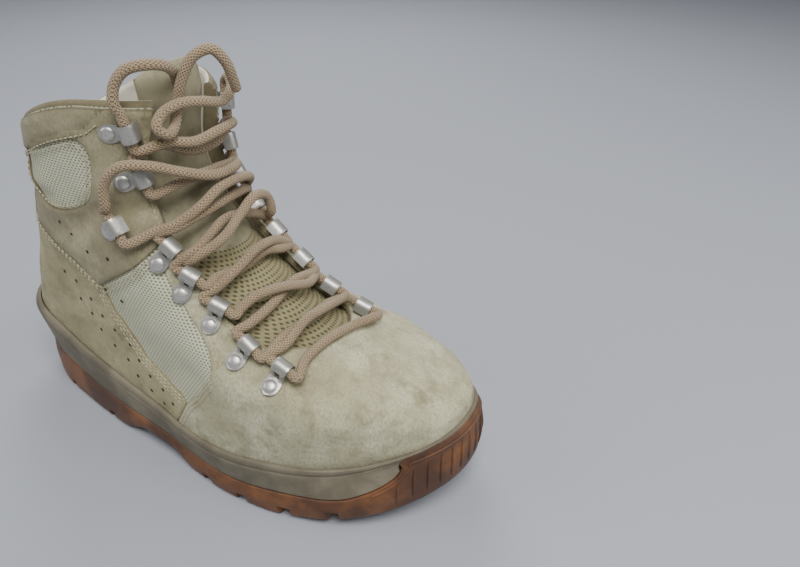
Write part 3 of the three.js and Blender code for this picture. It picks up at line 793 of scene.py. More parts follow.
@dataclass(frozen=True)
class Plain:
    """One colour with slight mottling and grain."""

    name: str
    colour: Colour
    shade: Colour
    roughness: float

    def material(self) -> bpy.types.Material:
        """Returns the material."""
        paint = Paint(self.name)
        colour = paint.mix(paint.noise(0.008, 5).rise(0.4, 0.75), self.colour, self.shade)
        normal = paint.bump(paint.noise(0.0014, 4), GRAIN, 0.5)
        return paint.done(colour, self.roughness, Normal=normal)


def colour_of(red: int, green: int, blue: int) -> Colour:
    """Returns a linear colour from 0 to 255 display values."""

    def linear(value: int) -> float:
        """Returns one channel's linear value."""
        part = value / 255
        return part / 12.92 if part <= 0.04045 else ((part + 0.055) / 1.055) ** 2.4

    return (linear(red), linear(green), linear(blue), 1.0)


class Finishes:
    """Every material of the boot."""

    def __init__(self) -> None:
        """Makes the materials."""
        shade = colour_of
        vamp = (shade(132, 124, 94), shade(174, 168, 134), shade(204, 200, 168), shade(118, 106, 74))
        quarter = (shade(120, 112, 78), shade(152, 144, 106), shade(176, 168, 128), shade(100, 86, 54))
        ankle = (shade(112, 104, 76), shade(140, 132, 102), shade(164, 157, 126), shade(92, 80, 54))
        self.vamp = Suede("vamp suede", *vamp, hair=1.5).material()
        self.quarter = Suede("quarter nubuck", *quarter, hair=1.0).material()
        self.ankle = Suede("ankle suede", *ankle, hair=1.2).material()
        # Each mesh's third tone is painted shade in its pits.
        side_mesh = (shade(216, 218, 190), shade(182, 182, 152), shade(92, 88, 64))
        tongue_mesh = (shade(160, 152, 114), shade(126, 118, 84), shade(66, 60, 40))
        self.mesh = Mesh("side mesh", *side_mesh).material()
        self.tongue_mesh = Mesh("tongue mesh", *tongue_mesh, pitch=2.2, rise=1.5).material()
        foam = (shade(98, 91, 74), shade(124, 116, 96), shade(78, 68, 50))
        gum = (shade(74, 47, 29), shade(122, 78, 43), shade(70, 53, 38))
        self.midsole = Moulded("midsole foam", *foam, roughness=0.62, worn=0.7).material()
        self.rubber = Moulded("gum rubber", *gum, roughness=0.5, worn=0.7).material()
        self.metal = Metal("hook metal", shade(176, 174, 166), shade(126, 120, 108), 0.75, 0.38).material()
        self.rivet = Metal("rivet metal", shade(192, 190, 184), shade(140, 134, 122), 0.7, 0.34).material()
        # The cord's first tone is the lace in shadow: painted shade in the braid's grooves.
        self.cord = Braid("braided cord", shade(128, 108, 80), shade(176, 154, 122)).material()
        self.lining = Plain("lining leather", shade(206, 200, 184), shade(182, 174, 154), 0.6).material()
        self.tongue = Plain("tongue leather", shade(146, 140, 112), shade(122, 115, 88), 0.8).material()
        self.thread = Plain("thread", shade(186, 178, 148), shade(150, 140, 108), 0.8).material()
        # The punched holes' near-black is painted shade inside each hole.
        self.shaded_hole = Plain("shaded_hole", shade(52, 46, 34), shade(38, 32, 24), 0.95).material()
        self.insole = Plain("insole fabric", shade(110, 104, 90), shade(84, 78, 66), 0.95).material()


# ---- Rings round the boot ----

RING_HALF = 190


class Ring:
    """Points round the boot: up the lateral side from heel to toe, and back down the medial side."""

    def __init__(self, count: int = RING_HALF) -> None:
        """Places the ring's points, `count` steps on each side."""
        self.count = count
        up, down = np.arange(count + 1), np.arange(count - 1, 0, -1)
        self.side = np.r_[np.full(len(up), LATERAL), np.full(len(down), MEDIAL)].astype(float)
        self.tau = np.r_[up, down] / count
        self.x = x = self.spot(self.tau)[:, 0]
        self.tread = sole["tread"](x)
        self.seam = np.where(self.side < 0, sole["seam_lateral"](x), sole["seam_medial"](x))
        self.rand_height = sole["rand"](x)

    def spot(self, tau: np.ndarray) -> np.ndarray:
        """Returns the sole's outline at tau."""
        x = LENGTH * share_along(tau)
        ends = end_closing(x, SOLE_HEEL_ROUND) * end_closing(LENGTH - x, SOLE_TOE_ROUND)
        return np.stack([x, centre_shift(x) + self.side * sole["half"](x) * ends], -1)

    def edge(self, out: np.ndarray | float, height: np.ndarray) -> np.ndarray:
        """Returns a ring `out` beyond the sole's widest edge."""
        step = 0.004
        along = self.spot(np.minimum(1, self.tau + step)) - self.spot(np.maximum(0, self.tau - step))
        normal = unit(np.stack([-self.side * along[:, 1], self.side * along[:, 0]], -1))
        normal[self.tau < step] = (-1, 0)
        normal[self.tau > 1 - step] = (1, 0)
        flat = self.spot(self.tau) + normal * np.broadcast_to(out, self.tau.shape)[:, None]
        return np.column_stack([flat, np.broadcast_to(height, self.tau.shape)])

    def slice_at(self, height: np.ndarray) -> np.ndarray:
        """Returns the slice at which the upper reaches a height."""
        low, high = np.zeros_like(self.tau), np.full_like(self.tau, 0.4)
        for _ in range(24):
            middle = (low + high) / 2
            under = last_point(middle, self.side, self.tau)[:, 2] < height
            low, high = np.where(under, middle, low), np.where(under, high, middle)
        return low

    def rand(self, out: float, lift: float) -> np.ndarray:
        """Returns a ring on the upper, `out` beyond it, `lift` above the rand's top edge."""
        height = self.rand_height + lift
        s = self.slice_at(height)
        points = last_point(s, self.side, self.tau) + last_normal(s, self.side, self.tau) * out
        points[:, 2] = height
        return points

    def upper(self, s: float, out: float, lift: float = 0) -> np.ndarray:
        """Returns a ring on the upper at slice s."""
        slice_ = np.full_like(self.tau, s)
        points = last_point(slice_, self.side, self.tau) + last_normal(slice_, self.side, self.tau) * out
        return points + np.array([0, 0, lift])

    def solid_faces(self, rows: int) -> list[tuple[int, ...]]:
        """Returns the faces of a stack of rings whose two ends are closed from side to side."""
        size = 2 * self.count
        faces: list[tuple[int, ...]] = list(grid_faces(rows, size, True))
        top = (rows - 1) * size
        for i in range(self.count):
            other = (size - i) % size
            after = size - i - 1
            low = (i, other, after, i + 1)
            high = (top + i, top + i + 1, top + after, top + other)
            faces.append(tuple(dict.fromkeys(low)))
            faces.append(tuple(dict.fromkeys(high)))
        return faces


def fillet_rows(first: np.ndarray, last: np.ndarray, lean: np.ndarray, count: int = 4) -> list[np.ndarray]:
    """Rounds the corner between two rings.

    Args:
        first: the ring that the curve starts at.
        last: the ring that it ends at.
        lean: the ring that it leans towards.
        count: how many rings to put between them.

    Returns:
        The rings between.
    """
    rows = []
    for t in np.linspace(0, 1, count + 2)[1:-1]:
        rows.append(first * (1 - t) ** 2 + lean * 2 * t * (1 - t) + last * t * t)
    return rows


@dataclass
class Sole:
    """The two moulded layers under the boot."""

    maker: Maker
    finishes: Finishes
    ring: Ring = field(default_factory=Ring)
    foot_height: float = 34.0
    foot_drop: float = 14.0
    under_foot: float = 9.0
    rand: float = 2.4
    groove_depth: float = 6.0
    groove_length: float = 75.0
    channel_width: float = 4.0
    rib_start: float = 270.0
    rib_every: int = 5

    def __post_init__(self) -> None:
        """Works out the rings that the side wall runs through, and the seam's height."""
        ring = self.ring
        ledge = np.minimum(ring.seam, ring.rand_height - 6)
        self.levels = [
            ring.edge(-3.5, ring.tread),
            ring.edge(-0.5, ring.tread + 3.5),
            ring.edge(0, (ring.tread + 3.5 + ledge) / 2),
            ring.edge(-1.2, ledge),
            ring.rand(self.rand + 1.4, -5),
            ring.rand(self.rand, 0),
        ]
        self.top = np.minimum(ring.seam, ring.rand_height - 0.6)

    def wall(self, height: np.ndarray, out: float = 0) -> np.ndarray:
        """Returns the ring on the side wall at a height, `out` beyond it."""
        points = self.levels[0].copy()
        for low, high in zip(self.levels, self.levels[1:]):
            span = np.maximum(high[:, 2] - low[:, 2], 1e-6)
            t = np.clip((height - low[:, 2]) / span, 0, 1)[:, None]
            points = np.where((height >= low[:, 2])[:, None], low * (1 - t) + high * t, points)
        away = self.ring.edge(1, 0)[:, :2] - self.ring.edge(0, 0)[:, :2]
        points[:, :2] += away * out
        points[:, 2] = height
        return points

    def floor(self) -> np.ndarray:
        """Returns the height left under the foot between the layers."""
        foot = self.foot_height - GAP - self.foot_drop * np.clip((self.ring.x - 40) / 130, 0, 1)
        return np.maximum(foot - self.under_foot, self.ring.tread + self.groove_depth + 2)

    def outsole(self) -> bpy.types.Object:
        """Makes the rubber outsole, with its grooves cut."""
        ring = self.ring
        start = ring.tread + 3.5
        rows = [ring.edge(-4.2, ring.tread), ring.edge(-3.2, ring.tread + 0.1)]
        rows += fillet_rows(rows[-1], self.wall(start), ring.edge(-1.0, ring.tread + 0.4))
        for t in np.linspace(0, 1, 16):
            rows.append(self.wall(start + (self.top - 0.7 - start) * t, 0.1))
        rows.append(self.wall(self.top - 0.2, -0.25))
        rows.append(self.wall(self.top, -0.9))
        rows.append(self.wall(self.top, -2.4))
        inner = np.minimum(self.top, 24)
        rows += [ring.edge(-10, inner), ring.edge(-14, self.floor())]
        points = np.vstack(rows)
        obj = self.maker.mesh("outsole_tread", points, ring.solid_faces(len(rows)))
        self.cut(obj)
        return self.maker.finish(obj, self.finishes.rubber, Finish.RUBBER, "outsole")

    def bumper(self) -> bpy.types.Object:
        """Makes the toe bumper's raised ribs and the rib above them."""
        ring = self.ring
        start = ring.tread + 4
        levels = np.linspace(0.1, 0.74, 12)
        rings = np.array([self.wall(start + (self.top - start) * t, 0.1) for t in levels])
        radii = 1.1 * np.sin(np.linspace(0.12, 0.88, len(levels)) * math.pi)
        parts = []
        for i in np.flatnonzero(ring.x > self.rib_start):
            if i % self.rib_every == 0:
                parts.append(sweep(rings[:, i], radii, 8))
        band = self.wall(start + (self.top - start) * 0.84, 0.1)
        toe = np.flatnonzero(ring.x > 264)
        parts.append(sweep(band[toe], np.full(len(toe), 0.7), 8))
        points, faces, uv = join(parts)
        obj = self.maker.mesh("toe_bumper_ribs", points, faces, uv)
        return self.maker.finish(obj, self.finishes.rubber, Finish.RUBBER)

    def cut(self, obj: bpy.types.Object) -> None:
        """Cuts the tread's grooves and channels out of the outsole."""
        points: list[tuple[float, float, float]] = []
        faces: Faces = []

        def block(plan: Sequence[tuple[float, float]], low: float, high: float) -> None:
            """Adds a block that stands on a plan of four corners."""
            base = len(points)
            points.extend((x, y, z) for z in (low, high) for x, y in plan)
            for face in ((0, 3, 2, 1), (4, 5, 6, 7), (0, 1, 5, 4), (1, 2, 6, 5), (2, 3, 7, 6), (3, 0, 4, 7)):
                faces.append(tuple(base + k for k in face))

        for x, width in GROOVES:
            top = float(sole["tread"](x)) + self.groove_depth
            for side in SIDES:
                near, far, lean = side * 4, side * self.groove_length, 14
                plan = [(x - width * 0.3, near), (x + width * 0.3, near)]
                plan += [(x + width * 0.62 - lean, far), (x - width * 0.62 - lean, far)]
                block(plan[::-1] if side < 0 else plan, -10, top)
        half = self.channel_width / 2
        for x0, x1, y in CHANNELS:
            plan = [(x0, y - half), (x1, y - half), (x1, y + half), (x0, y + half)]
            block(plan, -13.2, self.groove_depth - 1.2)
        cutter = self.maker.mesh("groove_cutter", np.array(points, float), faces)
        modifier = obj.modifiers.new("grooves", "BOOLEAN")
        modifier.operation = "DIFFERENCE"
        modifier.solver = "EXACT"
        modifier.use_self = True
        modifier.object = cutter
        bpy.ops.object.select_all(action="DESELECT")
        bpy.context.view_layer.objects.active = obj
        obj.select_set(True)
        bpy.ops.object.modifier_apply(modifier=modifier.name)
        bpy.data.objects.remove(cutter, do_unlink=True)
        bpy.ops.object.shade_smooth_by_angle(angle=math.radians(35))

    def midsole(self) -> bpy.types.Object:
        """Makes the foam midsole, with its rand against the upper."""
        ring = self.ring
        start = np.minimum(self.top + 0.25, ring.rand_height - 0.3)
        end = ring.rand_height - 0.2
        rows = [ring.edge(-13, self.floor() + 0.3), ring.edge(-9.5, np.minimum(start, 24.3))]
        rows += [self.wall(start, -2.2), self.wall(start, -1.1)]
        rows.append(self.wall(start + (end - start) * 0.02, -0.5))
        for t in np.linspace(0.05, 0.93, 18):
            line = 0.55 * math.exp(-(((t - 0.78) / 0.03) ** 2))
            rows.append(self.wall(start + (end - start) * t, -line))
        rows.append(ring.rand(self.rand - 0.2, -0.4))
        rows.append(ring.rand(self.rand - 1.0, 0.1))
        rows.append(ring.rand(0.3, 0))
        rows += [ring.rand(0.1, -4), ring.upper(0.02, 0.2), ring.upper(0, 0.1, -0.4)]
        obj = self.maker.mesh("midsole_rand", np.vstack(rows), ring.solid_faces(len(rows)))
        return self.maker.finish(obj, self.finishes.midsole, Finish.FOAM, "midsole")

    def insole(self) -> bpy.types.Object:
        """Makes the footbed."""
        ring = self.ring
        inset = -(float(wall_at(0.0)) + 0.8)
        rows = [ring.upper(0.004, inset, 0.1), ring.upper(0.004, inset, 4.2), ring.upper(0.004, inset - 1, 5)]
        obj = self.maker.mesh("footbed", np.vstack(rows), ring.solid_faces(len(rows)))
        return self.maker.finish(obj, self.finishes.insole, Finish.FELT, "insole")


# ---- Hooks and lace ----

HOOK_LIFT = 0.6  # keeps the flat tab clear of the curved upper
CHANNEL = 10.4  # from the rivet to the middle of the channel for the lace
CHANNEL_RADIUS = 3.4
LACE_LAP = 0.6  # how far a strand runs past the middle of a channel, into the next strand
CHANNEL_LEADS = (4.4, 9.0)  # where the lace's path is fixed at a channel's mouth and beyond it

# Where each rivet stands, in length and height, and how far its tab turns up from the slice, in degrees.
HOOK_ROWS = {
    "lateral 8": (213, 83, 62),
    "lateral 7": (193, 91, 54),
    "lateral 6": (176, 104, 66),
    "lateral 5": (160, 117, 62),
    "lateral 4": (147, 130, 48),
    "lateral 3": (122, 143, 34),
    "lateral 2": (130, 168, 18),
    "lateral 1": (128, 192, 12),
    "medial 8": (222, 88, 50),
    "medial 7": (203, 97, 46),
    "medial 6": (186, 108, 50),
    "medial 5": (169, 121, 46),
    "medial 4": (154, 134, 40),
    "medial 3": (136, 147, 30),
    "medial 2": (136, 169, 18),
    "medial 1": (134, 192, 12),
}

# The lace between hooks: from, the points over the throat as (slice, across, out), and to.
STRANDS = (
    ("lateral 8 low", ((0.5, -27, 3.5), (0.53, -12, 3.2), (0.525, 3, 4), (0.505, 13, 6.5)), "medial 8 low"),
    ("lateral 8 high", ((0.53, -27, 5), (0.57, -13, 7), (0.57, 3, 6)), "medial 7 low"),
    ("medial 8 high", ((0.57, 9, 3), (0.575, -9, 1.5), (0.55, -24, 3.2)), "lateral 7 low"),
    ("lateral 7 high", ((0.585, -28, 4.5), (0.62, -16, 2.5), (0.64, 2, 2.5)), "medial 6 low"),
    ("medial 7 high", ((0.62, 5, 5.5), (0.64, -9, 7.5), (0.64, -19, 6), (0.62, -26, 4.5)), "lateral 6 low"),
    ("lateral 6 high", ((0.67, -26, 5), (0.7, -16, 7), (0.72, -4, 7), (0.71, 10, 5.5)), "medial 5 low"),
    ("medial 6 high", ((0.69, 12, 3.5), (0.71, 3, 2), (0.7, -15, 1.5), (0.69, -24, 3.2)), "lateral 5 low"),
    ("lateral 5 high", ((0.755, -22, 8), (0.78, -15, 4), (0.8, -5, 2), (0.78, 10, 3.5)), "medial 4 low"),
    (
        "medial 5 high",
        ((0.755, 15, 11), (0.79, 12, 15), (0.81, 5, 15), (0.79, -4, 10), (0.765, -13, 10), (0.745, -21, 9.5)),
        "lateral 4 low",
    ),
    ("lateral 4 high", ((0.805, -24, 7), (0.825, -14, 5), (0.835, 0, 4.5), (0.825, 14, 5)), "medial 3 low"),
    (
        "medial 4 high",
        ((0.84, 16, 10), (0.865, 5, 10.5), (0.865, -5, 10), (0.84, -14, 9), (0.81, -24, 7.5), (0.8, -30, 5)),
        "lateral 3 low",
    ),
    (
        "lateral 3 high",
        (
            (0.86, -37, 8.5),
            (0.9, -35, 11),
            (0.93, -31, 12.5),
            (0.93, -24, 12.5),
            (0.91, -16, 11.5),
            (0.89, -6, 11),
            (0.885, 7, 10),
        ),
        "medial 2 low",
    ),
    ("medial 3 high", ((0.88, 16, 4), (0.89, 3, 2), (0.89, -14, 3.2)), "lateral 2 low"),
    ("lateral 2 high", ((0.95, -20, 3.5), (0.93, -8, 2), (0.93, 8, 3.5)), "medial 1 low"),
    ("medial 2 high", ((0.95, 15, 8.5), (0.955, 2, 8), (0.95, -9, 7), (0.955, -18, 5.5)), "lateral 1 low"),
)

# The points that the lace's two loose ends pass through, beyond the top hooks.
LOOSE_ENDS = {
    "lateral 1": (
        (137, -37, 207),
        (138, -36, 215),
        (143, -33, 222),
        (150, -27, 224),
        (152, -19, 222),
        (150, -12, 217),
        (147, -8, 211),
    ),
    "medial 1": (
        (149, 25, 206),
        (157, 17, 204),
        (160, 6, 201),
        (158, -7, 204),
        (155, -17, 205),
        (152, -25, 202),
        (152, -29, 197),
        (154, -25, 193),
        (152, -18, 195),
        (151, -14, 203),
        (155, -12, 216),
        (160, -9, 225),
        (166, -4, 228),
        (169, 1, 222),
        (169, 5, 213),
        (168, 8, 207),
    ),
}


def place_on_upper(x: float, z: float, side: int) -> tuple[float, float]:
    """Finds a place on the upper from the side.

    Args:
        x: its length along the boot.
        z: its height.
        side: the boot's side.

    Returns:
        Its slice and tau.
    """

    def tau_at(s: float) -> float:
        """Returns the tau at length x on slice s."""
        back, front = float(slices["back_x"](s)), float(slices["front_x"](s))
        share = min(1.0, max(0.0, (x - back) / (front - back)))
        return math.acos(1 - 2 * share) / math.pi

    low, high = 0.0, 1.0
    for _ in range(30):
        middle = (low + high) / 2
        if last_point(middle, side, tau_at(middle))[2] < z:
            low = middle
        else:
            high = middle
    return low, tau_at(low)


def hook_place(name: str) -> tuple[np.ndarray, np.ndarray]:
    """Returns the axes (as columns) and the origin of a hook."""
    side = LATERAL if name.startswith("lateral") else MEDIAL
    x, z, turn = HOOK_ROWS[name]
    s, tau = place_on_upper(x, z, side)
    normal = last_normal(s, side, tau)
    first = last_point(s, side, tau + 0.02) - last_point(s, side, tau)
    first = unit(first - normal * first.dot(normal))
    angle = math.radians(-side * turn)
    first = first * math.cos(angle) + np.cross(normal, first) * math.sin(angle)
    axes = np.stack([first, np.cross(normal, first), normal], 1)
    return axes, last_point(s, side, tau) + normal * HOOK_LIFT


def channel_point(name: str, along: float) -> np.ndarray:
    """Returns a point in a hook's channel, `along` from its middle towards its high end."""
    axes, origin = hook_place(name)
    high = along if name.startswith("lateral") else -along
    return origin + axes @ np.array([CHANNEL, high, CHANNEL_RADIUS + 0.1])


def across_throat(s: float, across: float, out: float) -> np.ndarray:
    """Returns a point over the throat at a distance across it from the boot's middle."""
    side = LATERAL if across < 0 else MEDIAL
    tau = front_tau(s, abs(across))
    return last_point(s, side, tau) + last_normal(s, side, tau) * out


def centripetal(points: np.ndarray, step: float = 1.0) -> np.ndarray:
    """Draws a centripetal Catmull-Rom curve.

    Args:
        points: the points that it passes through.
        step: the distance between the points returned.

    Returns:
        Points along the curve.
    """
    before = 2 * points[0] - points[1]
    after = 2 * points[-1] - points[-2]
    every = np.vstack([before, points, after])
    line = []
    for k in range(1, len(every) - 2):
        p0, p1, p2, p3 = every[k - 1 : k + 3]
        gaps = np.linalg.norm(np.diff(every[k - 1 : k + 3], axis=0), axis=1)
        d0, d1, d2 = np.maximum(1e-4, np.sqrt(gaps))
        slope1 = ((p1 - p0) / d0 - (p2 - p0) / (d0 + d1) + (p2 - p1) / d1) * d1
        slope2 = ((p2 - p1) / d1 - (p3 - p1) / (d1 + d2) + (p3 - p2) / d2) * d1
        count = max(2, int(gaps[1] / step * 2))
        t = np.linspace(0, 1, count, endpoint=False)[:, None]
        t2, t3 = t * t, t * t * t
        ends = (2 * t3 - 3 * t2 + 1) * p1 + (3 * t2 - 2 * t3) * p2
        line.append(ends + (t3 - 2 * t2 + t) * slope1 + (t3 - t2) * slope2)
    line.append(points[-1:])
    return resample(np.vstack(line), np.ones(3), step)


def sweep(line: np.ndarray, radii: np.ndarray, sides: int = 14) -> Part:
    """Sweeps a circle along a line and closes its ends.

    Args:
        line: the line's points.
        radii: the radius at each point.
        sides: how many sides the circle has.

    Returns:
        The points, the faces, and the pattern coordinates round and along the tube.
    """
    tangents = unit(np.gradient(line, axis=0))
    normal = unit(np.cross(tangents[0], [0.3, 0.2, 1.0]))
    lengths = np.r_[0, np.cumsum(np.linalg.norm(np.diff(line, axis=0), axis=1))]
    points, uv = [], []
    angles = np.arange(sides) / sides * 2 * math.pi
    cosines, sines = np.cos(angles)[:, None], np.sin(angles)[:, None]
    round_it = np.abs(np.arange(sides) / sides * 2 - 1) * 0.5
    for k, tangent in enumerate(tangents):
        normal = unit(normal - tangent * normal.dot(tangent))
        points.append(line[k] + radii[k] * (cosines * normal + sines * np.cross(tangent, normal)))
        uv.append(np.column_stack([round_it, np.full(sides, lengths[k])]))
    faces: Faces = list(grid_faces(len(line), sides, True))
    faces.append(tuple(reversed(range(sides))))
    last = (len(line) - 1) * sides
    faces.append(tuple(range(last, last + sides)))
    return np.vstack(points), faces, np.vstack(uv)


def join(parts: Sequence[Part]) -> Part:
    """Joins several meshes' points, faces and pattern coordinates."""
    faces: Faces = []
    base = 0
    for points, part_faces, _ in parts:
        faces += [tuple(base + k for k in face) for face in part_faces]
        base += len(points)
    return np.vstack([part[0] for part in parts]), faces, np.vstack([part[2] for part in parts])


@dataclass
class Lacing:
    """The hooks and the lace that runs through them."""

    maker: Maker
    finishes: Finishes
    plate_radius: float = 4.6
    thick: float = 0.9
    end_half_width: float = 4.3
    waist: float = 0.9
    across: int = 10
    rivet_sides: int = 20

    def tube(self, line: np.ndarray) -> Part:
        """Returns a tube of the lace's thickness, drawn in at its ends."""
        radii = np.full(len(line), LACE_DIAMETER / 2)
        radii[[0, -1]] *= 0.7
        return sweep(line, radii)

    def crossings(self) -> bpy.types.Object:
        """Makes the lace between the hooks."""
        parts = []
        for start, over, end in STRANDS:
            leads = []
            for name in (start, end):
                hook, mouth = name.rsplit(" ", 1)
                high = 1 if mouth == "high" else -1
                leads.append([channel_point(hook, high * along) for along in (-LACE_LAP, *CHANNEL_LEADS)])
            middle = [across_throat(*place) for place in over]
            parts.append(self.tube(centripetal(np.array(leads[0] + middle + leads[1][::-1]))))
        obj = self.maker.mesh("lace_crossings_braid", *join(parts))
        return self.maker.finish(obj, self.finishes.cord, Finish.CORD, "lace_crossings")

    def loose_end(self, hook: str) -> bpy.types.Object:
        """Makes one loose end of the lace, as a cord."""
        lead = [channel_point(hook, along) for along in (LACE_LAP + GAP, *CHANNEL_LEADS)]
        line = centripetal(np.vstack([lead, LOOSE_ENDS[hook]]))
        side = hook.split(" ")[0]
        obj = self.maker.mesh(f"lace_end_{side}_braid", *self.tube(line))
        self.maker.finish(obj, self.finishes.cord, Finish.CORD, f"lace_end_{side}")
        return obj

    def tab_line(self) -> np.ndarray:
        """Returns the middle line of a tab's strip, seen from its side: flat, then arched over the lace."""
        flat = self.thick / 2
        arch = CHANNEL_RADIUS + flat
        axis_height = CHANNEL_RADIUS + 0.1
        line = [(x, flat) for x in (-self.plate_radius, -4.2, -3.2, -1.6, 0, 2, 3.6)]
        line += [(CHANNEL - arch - 1.4, 0.55), (CHANNEL - arch - 0.5, 1.2), (CHANNEL - arch, 2.4)]
        for angle in np.linspace(math.pi, 0, 13):
            line.append((CHANNEL + arch * math.cos(angle), axis_height + arch * math.sin(angle)))
        line += [(CHANNEL + arch, 2.0), (CHANNEL + arch, 0.0)]
        return np.array(line)

    def tab_half_width(self, x: float) -> float:
        """Returns the tab's half-width at a distance from the rivet."""
        if x < 0:
            half = math.sqrt(max(0.3, self.plate_radius**2 - x * x))
        else:
            half = self.plate_radius + (self.end_half_width - self.plate_radius) * min(1, x / CHANNEL)
        return half - self.waist * math.exp(-(((x - 5.2) / 1.6) ** 2))

    def tab(self) -> Part:
        """Makes one hook's bent strip, with a window in the foot of its arch."""
        path = self.tab_line()
        across = np.linspace(-1, 1, self.across + 1)
        tangent = unit(np.gradient(path, axis=0))
        normal = np.stack([-tangent[:, 1], tangent[:, 0]], 1)
        layers = []
        for shift in (self.thick / 2, -self.thick / 2):
            rim = np.where(np.abs(across) > 0.95, 0.55, 1.0) * shift
            for k, (x, _) in enumerate(path):
                flat = path[k] + normal[k] * rim[:, None]
                layers.append(np.column_stack([flat[:, 0], across * self.tab_half_width(x), flat[:, 1]]))
        rows, size = len(path) - 1, self.across
        window = {(j, i) for j in range(7, 12) for i in range(3, 7)}
        there = {(j, i) for j in range(rows) for i in range(size)} - window
        under = len(path) * len(across)
        faces: Faces = []
        for j, i in sorted(there):
            a = j * len(across) + i
            b, c, d = a + 1, a + len(across) + 1, a + len(across)
            faces += [(a, d, c, b), (a + under, b + under, c + under, d + under)]
            near = (((j - 1, i), a, b), ((j, i + 1), b, c), ((j + 1, i), c, d), ((j, i - 1), d, a))
            for cell, p, q in near:
                if cell not in there:
                    faces.append((p, q, q + under, p + under))
        points = np.vstack(layers)
        return points, faces, np.zeros((len(points), 2))

    def rivet(self) -> Part:
        """Makes one domed rivet head."""
        profile = ((0.001, 2.15), (1.2, 2.1), (2.4, 1.9), (3.2, 1.45), (3.5, 1.1), (3.5, 0.7))
        turns = np.arange(self.rivet_sides) / self.rivet_sides * 2 * math.pi
        rings = [
            np.column_stack([radius * np.cos(turns), radius * np.sin(turns), np.full(len(turns), z)])
            for radius, z in profile
        ]
        faces: Faces = [(a, d, c, b) for a, b, c, d in grid_faces(len(profile), self.rivet_sides, True)]
        last = (len(profile) - 1) * self.rivet_sides
        faces.append(tuple(reversed(range(last, last + self.rivet_sides))))
        points = np.vstack(rings)
        return points, faces, np.zeros((len(points), 2))

    def hooks(self) -> bpy.types.Object:
        """Makes the sixteen riveted hooks, as one joined mesh of tabs and one of rivets."""
        placed: dict[str, list[Part]] = {"tab": [], "rivet": []}
        shapes = {"tab": self.tab(), "rivet": self.rivet()}
        for name in HOOK_ROWS:
            axes, origin = hook_place(name)
            for kind, (points, faces, uv) in shapes.items():
                placed[kind].append((points @ axes.T + origin, faces, uv))
        rivets = self.maker.mesh("hook_rivets", *join(placed["rivet"])[:2])
        self.maker.finish(rivets, self.finishes.rivet, Finish.STEEL)
        tabs = self.maker.mesh("hook_tabs", *join(placed["tab"])[:2], smooth_angle=50)
        nodes = [f"hook_{name.replace(' ', '_')}" for name in HOOK_ROWS]
        return self.maker.finish(tabs, self.finishes.metal, Finish.STEEL, *nodes)


# ---- Upper ----

# Roughly how many millimetres a slice step of 1 and a tau step of 1 are, on the upper.
S_SCALE = 160.0
TAU_SCALE = 210.0
FLAT = np.array([S_SCALE, TAU_SCALE])

Outline = Sequence[tuple[float, float]]

# Panel edges and punched holes, as (slice, tau). They are the same on both sides.
EYESTAY_EDGE: Outline = (
    (0.75, 0.713), (0.73, 0.7), (0.675, 0.69), (0.615, 0.685), (0.55, 0.672), (0.5, 0.65),
    (0.425, 0.607), (0.36, 0.577), (0.295, 0.55), (0.19, 0.523), (0.085, 0.507), (0.0, 0.5),
)
QUARTER: Outline = (
    (0.0, 0.0), (0.0, 0.5), (0.085, 0.507), (0.19, 0.523), (0.22, 0.515), (0.23, 0.5), (0.29, 0.453),
    (0.38, 0.437), (0.455, 0.427), (0.565, 0.443), (0.66, 0.43), (0.72, 0.36), (0.76, 0.25),
    (0.8, 0.12), (0.82, 0.0),
)
ANKLE_FRONT: Outline = (
    (0.765, 0.717), (0.725, 0.653), (0.665, 0.56), (0.61, 0.49), (0.56, 0.44),
)
ANKLE_BACK: Outline = (
    (0.56, 0.44), (0.6, 0.417), (0.64, 0.367), (0.665, 0.313), (0.695, 0.263), (0.73, 0.18),
    (0.75, 0.08), (0.755, 0.0),
)
ANKLE_HOLE: Outline = (
    (0.93, 0.22), (0.88, 0.25), (0.835, 0.325), (0.81, 0.39), (0.815, 0.463), (0.84, 0.533),
    (0.87, 0.583), (0.91, 0.612), (0.94, 0.61), (0.955, 0.57), (0.95, 0.5), (0.94, 0.4), (0.94, 0.3),
)
BAND_EDGE: Outline = (
    (0.935, 0.0), (0.94, 0.333), (0.955, 0.45), (0.965, 0.603), (0.975, 0.63), (0.985, 0.66),
)
HOLES: Outline = (
    (0.415, 0.33), (0.365, 0.35), (0.3, 0.363), (0.255, 0.39), (0.22, 0.417), (0.16, 0.433),
    (0.13, 0.457), (0.11, 0.48), (0.45, 0.367), (0.385, 0.377), (0.34, 0.397), (0.305, 0.423),
    (0.25, 0.437), (0.2, 0.457), (0.175, 0.48), (0.14, 0.497), (0.76, 0.397), (0.725, 0.427),
    (0.69, 0.47), (0.7, 0.543), (0.51, 0.303), (0.5, 0.34), (0.55, 0.447), (0.54, 0.487),
)
# How far each layer's face stands above the upper's form.
QUARTER_TOP = -0.1
VAMP_TOP = 0.2
ANKLE_TOP = 0.7
BAND_TOP = 1.1
BASE_TOP = -0.9


def throat_line(side: int, low: float, high: float, count: int = 30) -> np.ndarray:
    """Returns the throat's edge from slice `low` to slice `high`, as (slice, tau)."""
    s = np.linspace(low, high, count)
    return np.column_stack([s, front_tau(s, throat_reach(s, side))])


